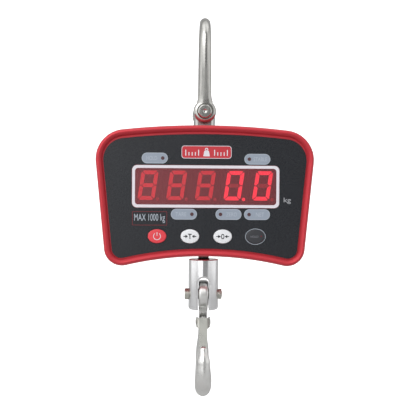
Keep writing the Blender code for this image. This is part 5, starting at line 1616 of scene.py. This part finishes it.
# ------------------------------------------------------------------ studio
@dataclass
class Studio:
    """A pale sweep behind and below the scale, soft lights and the camera."""

    panel_front: float = -0.0433
    centre: float = -0.1796
    distance: float = 0.833
    azimuth: float = -1.6
    roll: float = 0.35
    lens: float = 75.0
    floor_level: float = -0.56
    wall: float = 1.6

    def sweep(self) -> None:
        """The floor and the wall behind as one surface: flat, a quarter turn, then upright."""
        radius, reach, side = 0.6, 2.5, 3.0
        turn = np.linspace(0, math.pi / 2, 24)
        floor = np.array(((-reach, self.floor_level), (self.wall - radius, self.floor_level)))
        bend = np.stack((self.wall - radius + radius * np.sin(turn),
                         self.floor_level + radius - radius * np.cos(turn)), axis=-1)
        line = np.concatenate((floor, bend[1:], [(self.wall, 2.5)]))
        across = np.linspace(-side, side, 9)
        points = np.stack(np.broadcast_arrays(across[None, :], line[:, :1], line[:, 1:]), axis=-1)
        item = make_object("sweep", grid_skin(points, ring=False, cap=False))
        sheet = NodeSheet("sweep_paper")
        seen = sheet.add("ShaderNodeLightPath").outputs["Is Camera Ray"]
        paper = sheet.blend(sheet.noise(6.0), (0.80, 0.80, 0.80), (0.84, 0.84, 0.84))
        sheet.connect("Base Color", sheet.blend(seen, (0.55, 0.55, 0.55), paper))
        sheet.shader.inputs["Emission Color"].default_value = (1.0, 1.0, 1.0, 1.0)
        depth = sheet.add("ShaderNodeSeparateXYZ", {0: sheet.place()}).outputs["Y"]
        glow = sheet.spread(depth, 0.15, 0.75, 0.1, 0.7)
        sheet.connect("Emission Strength", sheet.calculate("MULTIPLY", glow, seen))
        sheet.number(Roughness=0.9, Specular_IOR_Level=0.1)
        item.data.materials.append(sheet.material)

    def lamp(self, name: str, place: Sequence[float], size: Pair, power: float,
             colour: Colour = (1, 1, 1)) -> None:
        """A soft rectangular light that looks at the housing's middle."""
        light = bpy.data.lights.new(name, "AREA")
        light.shape, light.size, light.size_y = "RECTANGLE", *size
        light.energy, light.color = power, colour
        item = bpy.data.objects.new(name, light)
        bpy.context.scene.collection.objects.link(item)
        item.location = place
        aim = Vector((0.0, 0.0, self.centre)) - Vector(place)
        item.rotation_euler = aim.to_track_quat("-Z", "Y").to_euler()

    def surroundings(self) -> None:
        """The room's light: pale, with a narrow darker stretch beside the camera for the metal to mirror."""
        world = bpy.data.worlds.new("room")
        world.use_nodes = True
        bpy.context.scene.world = world
        nodes, links = world.node_tree.nodes, world.node_tree.links
        direction = nodes.new("ShaderNodeTexCoord").outputs["Generated"]
        parts = nodes.new("ShaderNodeSeparateXYZ")
        links.new(direction, parts.inputs[0])
        back = nodes.new("ShaderNodeMath")
        back.operation = "MULTIPLY"
        back.inputs[1].default_value = -1.0
        links.new(parts.outputs["Y"], back.inputs[0])
        angle = nodes.new("ShaderNodeMath")
        angle.operation = "ARCTAN2"
        links.new(parts.outputs["X"], angle.inputs[0])
        links.new(back.outputs[0], angle.inputs[1])
        share = nodes.new("ShaderNodeMapRange")
        share.inputs["From Min"].default_value, share.inputs["From Max"].default_value = -math.pi, math.pi
        links.new(angle.outputs[0], share.inputs["Value"])
        ramp = nodes.new("ShaderNodeValToRGB")
        stops = ((0.00, 0.35), (0.14, 0.45), (0.22, 1.10), (0.36, 1.15), (0.42, 1.45), (0.475, 1.40),
                 (0.490, 0.24), (0.580, 0.24), (0.615, 0.92), (0.78, 0.95), (0.86, 0.45), (1.00, 0.35))
        while len(ramp.color_ramp.elements) < len(stops):
            ramp.color_ramp.elements.new(0.5)
        for element, (place, value) in zip(ramp.color_ramp.elements, stops):
            element.position = place
            element.color = (value, value, value, 1.0)
        links.new(share.outputs["Result"], ramp.inputs["Fac"])
        height = nodes.new("ShaderNodeMapRange")
        for key, value in (("From Min", -0.3), ("From Max", 0.8), ("To Min", 1.10), ("To Max", 0.85)):
            height.inputs[key].default_value = value
        links.new(parts.outputs["Z"], height.inputs["Value"])
        background = world.node_tree.nodes["Background"]
        links.new(ramp.outputs["Color"], background.inputs["Color"])
        links.new(height.outputs["Result"], background.inputs["Strength"])
        plain = nodes.new("ShaderNodeBackground")
        plain.inputs["Color"].default_value = (1.0, 1.0, 1.0, 1.0)
        choice = nodes.new("ShaderNodeMixShader")
        links.new(nodes.new("ShaderNodeLightPath").outputs["Is Camera Ray"], choice.inputs[0])
        links.new(background.outputs[0], choice.inputs[1])
        links.new(plain.outputs[0], choice.inputs[2])
        links.new(choice.outputs[0], nodes["World Output"].inputs["Surface"])

    def camera(self) -> None:
        """A long lens level with the display, a little to its left, aimed at the label's middle."""
        turn = math.radians(self.azimuth)
        target = Vector((0.0, self.panel_front, self.centre))
        place = target + Vector((math.sin(turn), -math.cos(turn), 0.0)) * self.distance
        data = bpy.data.cameras.new("camera")
        data.sensor_width, data.lens = 36.0, self.lens
        data.shift_x = -0.0125
        data.clip_start, data.clip_end = 0.05, 20.0
        item = bpy.data.objects.new("camera", data)
        bpy.context.scene.collection.objects.link(item)
        item.location = place
        aim = (target - place).to_track_quat("-Z", "Y").to_matrix().to_4x4()
        item.rotation_euler = (aim @ Matrix.Rotation(math.radians(self.roll), 4, "Z")).to_euler()
        bpy.context.scene.camera = item

    def build(self) -> None:
        """Sets the stage."""
        self.sweep()
        self.surroundings()
        self.lamp("key", (-0.8, -1.3, 0.9), (2.0, 1.4), 13.0)
        self.lamp("top", (0.0, -0.1, 1.5), (2.4, 1.8), 8.0)
        self.camera()
        bpy.context.scene.view_settings.view_transform = "Standard"


def main() -> None:
    """Builds the scale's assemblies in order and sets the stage."""
    logging.basicConfig(level=logging.INFO, format="%(message)s")
    keypad = Keypad()
    Shackle().build()
    LoadLine().build()
    Housing().build(keypad)
    keypad.build()
    Panel().build(keypad)
    Clevis().build()
    Hook().build()
    Latch().build()
    Studio().build()


if __name__ == "__main__":
    main()
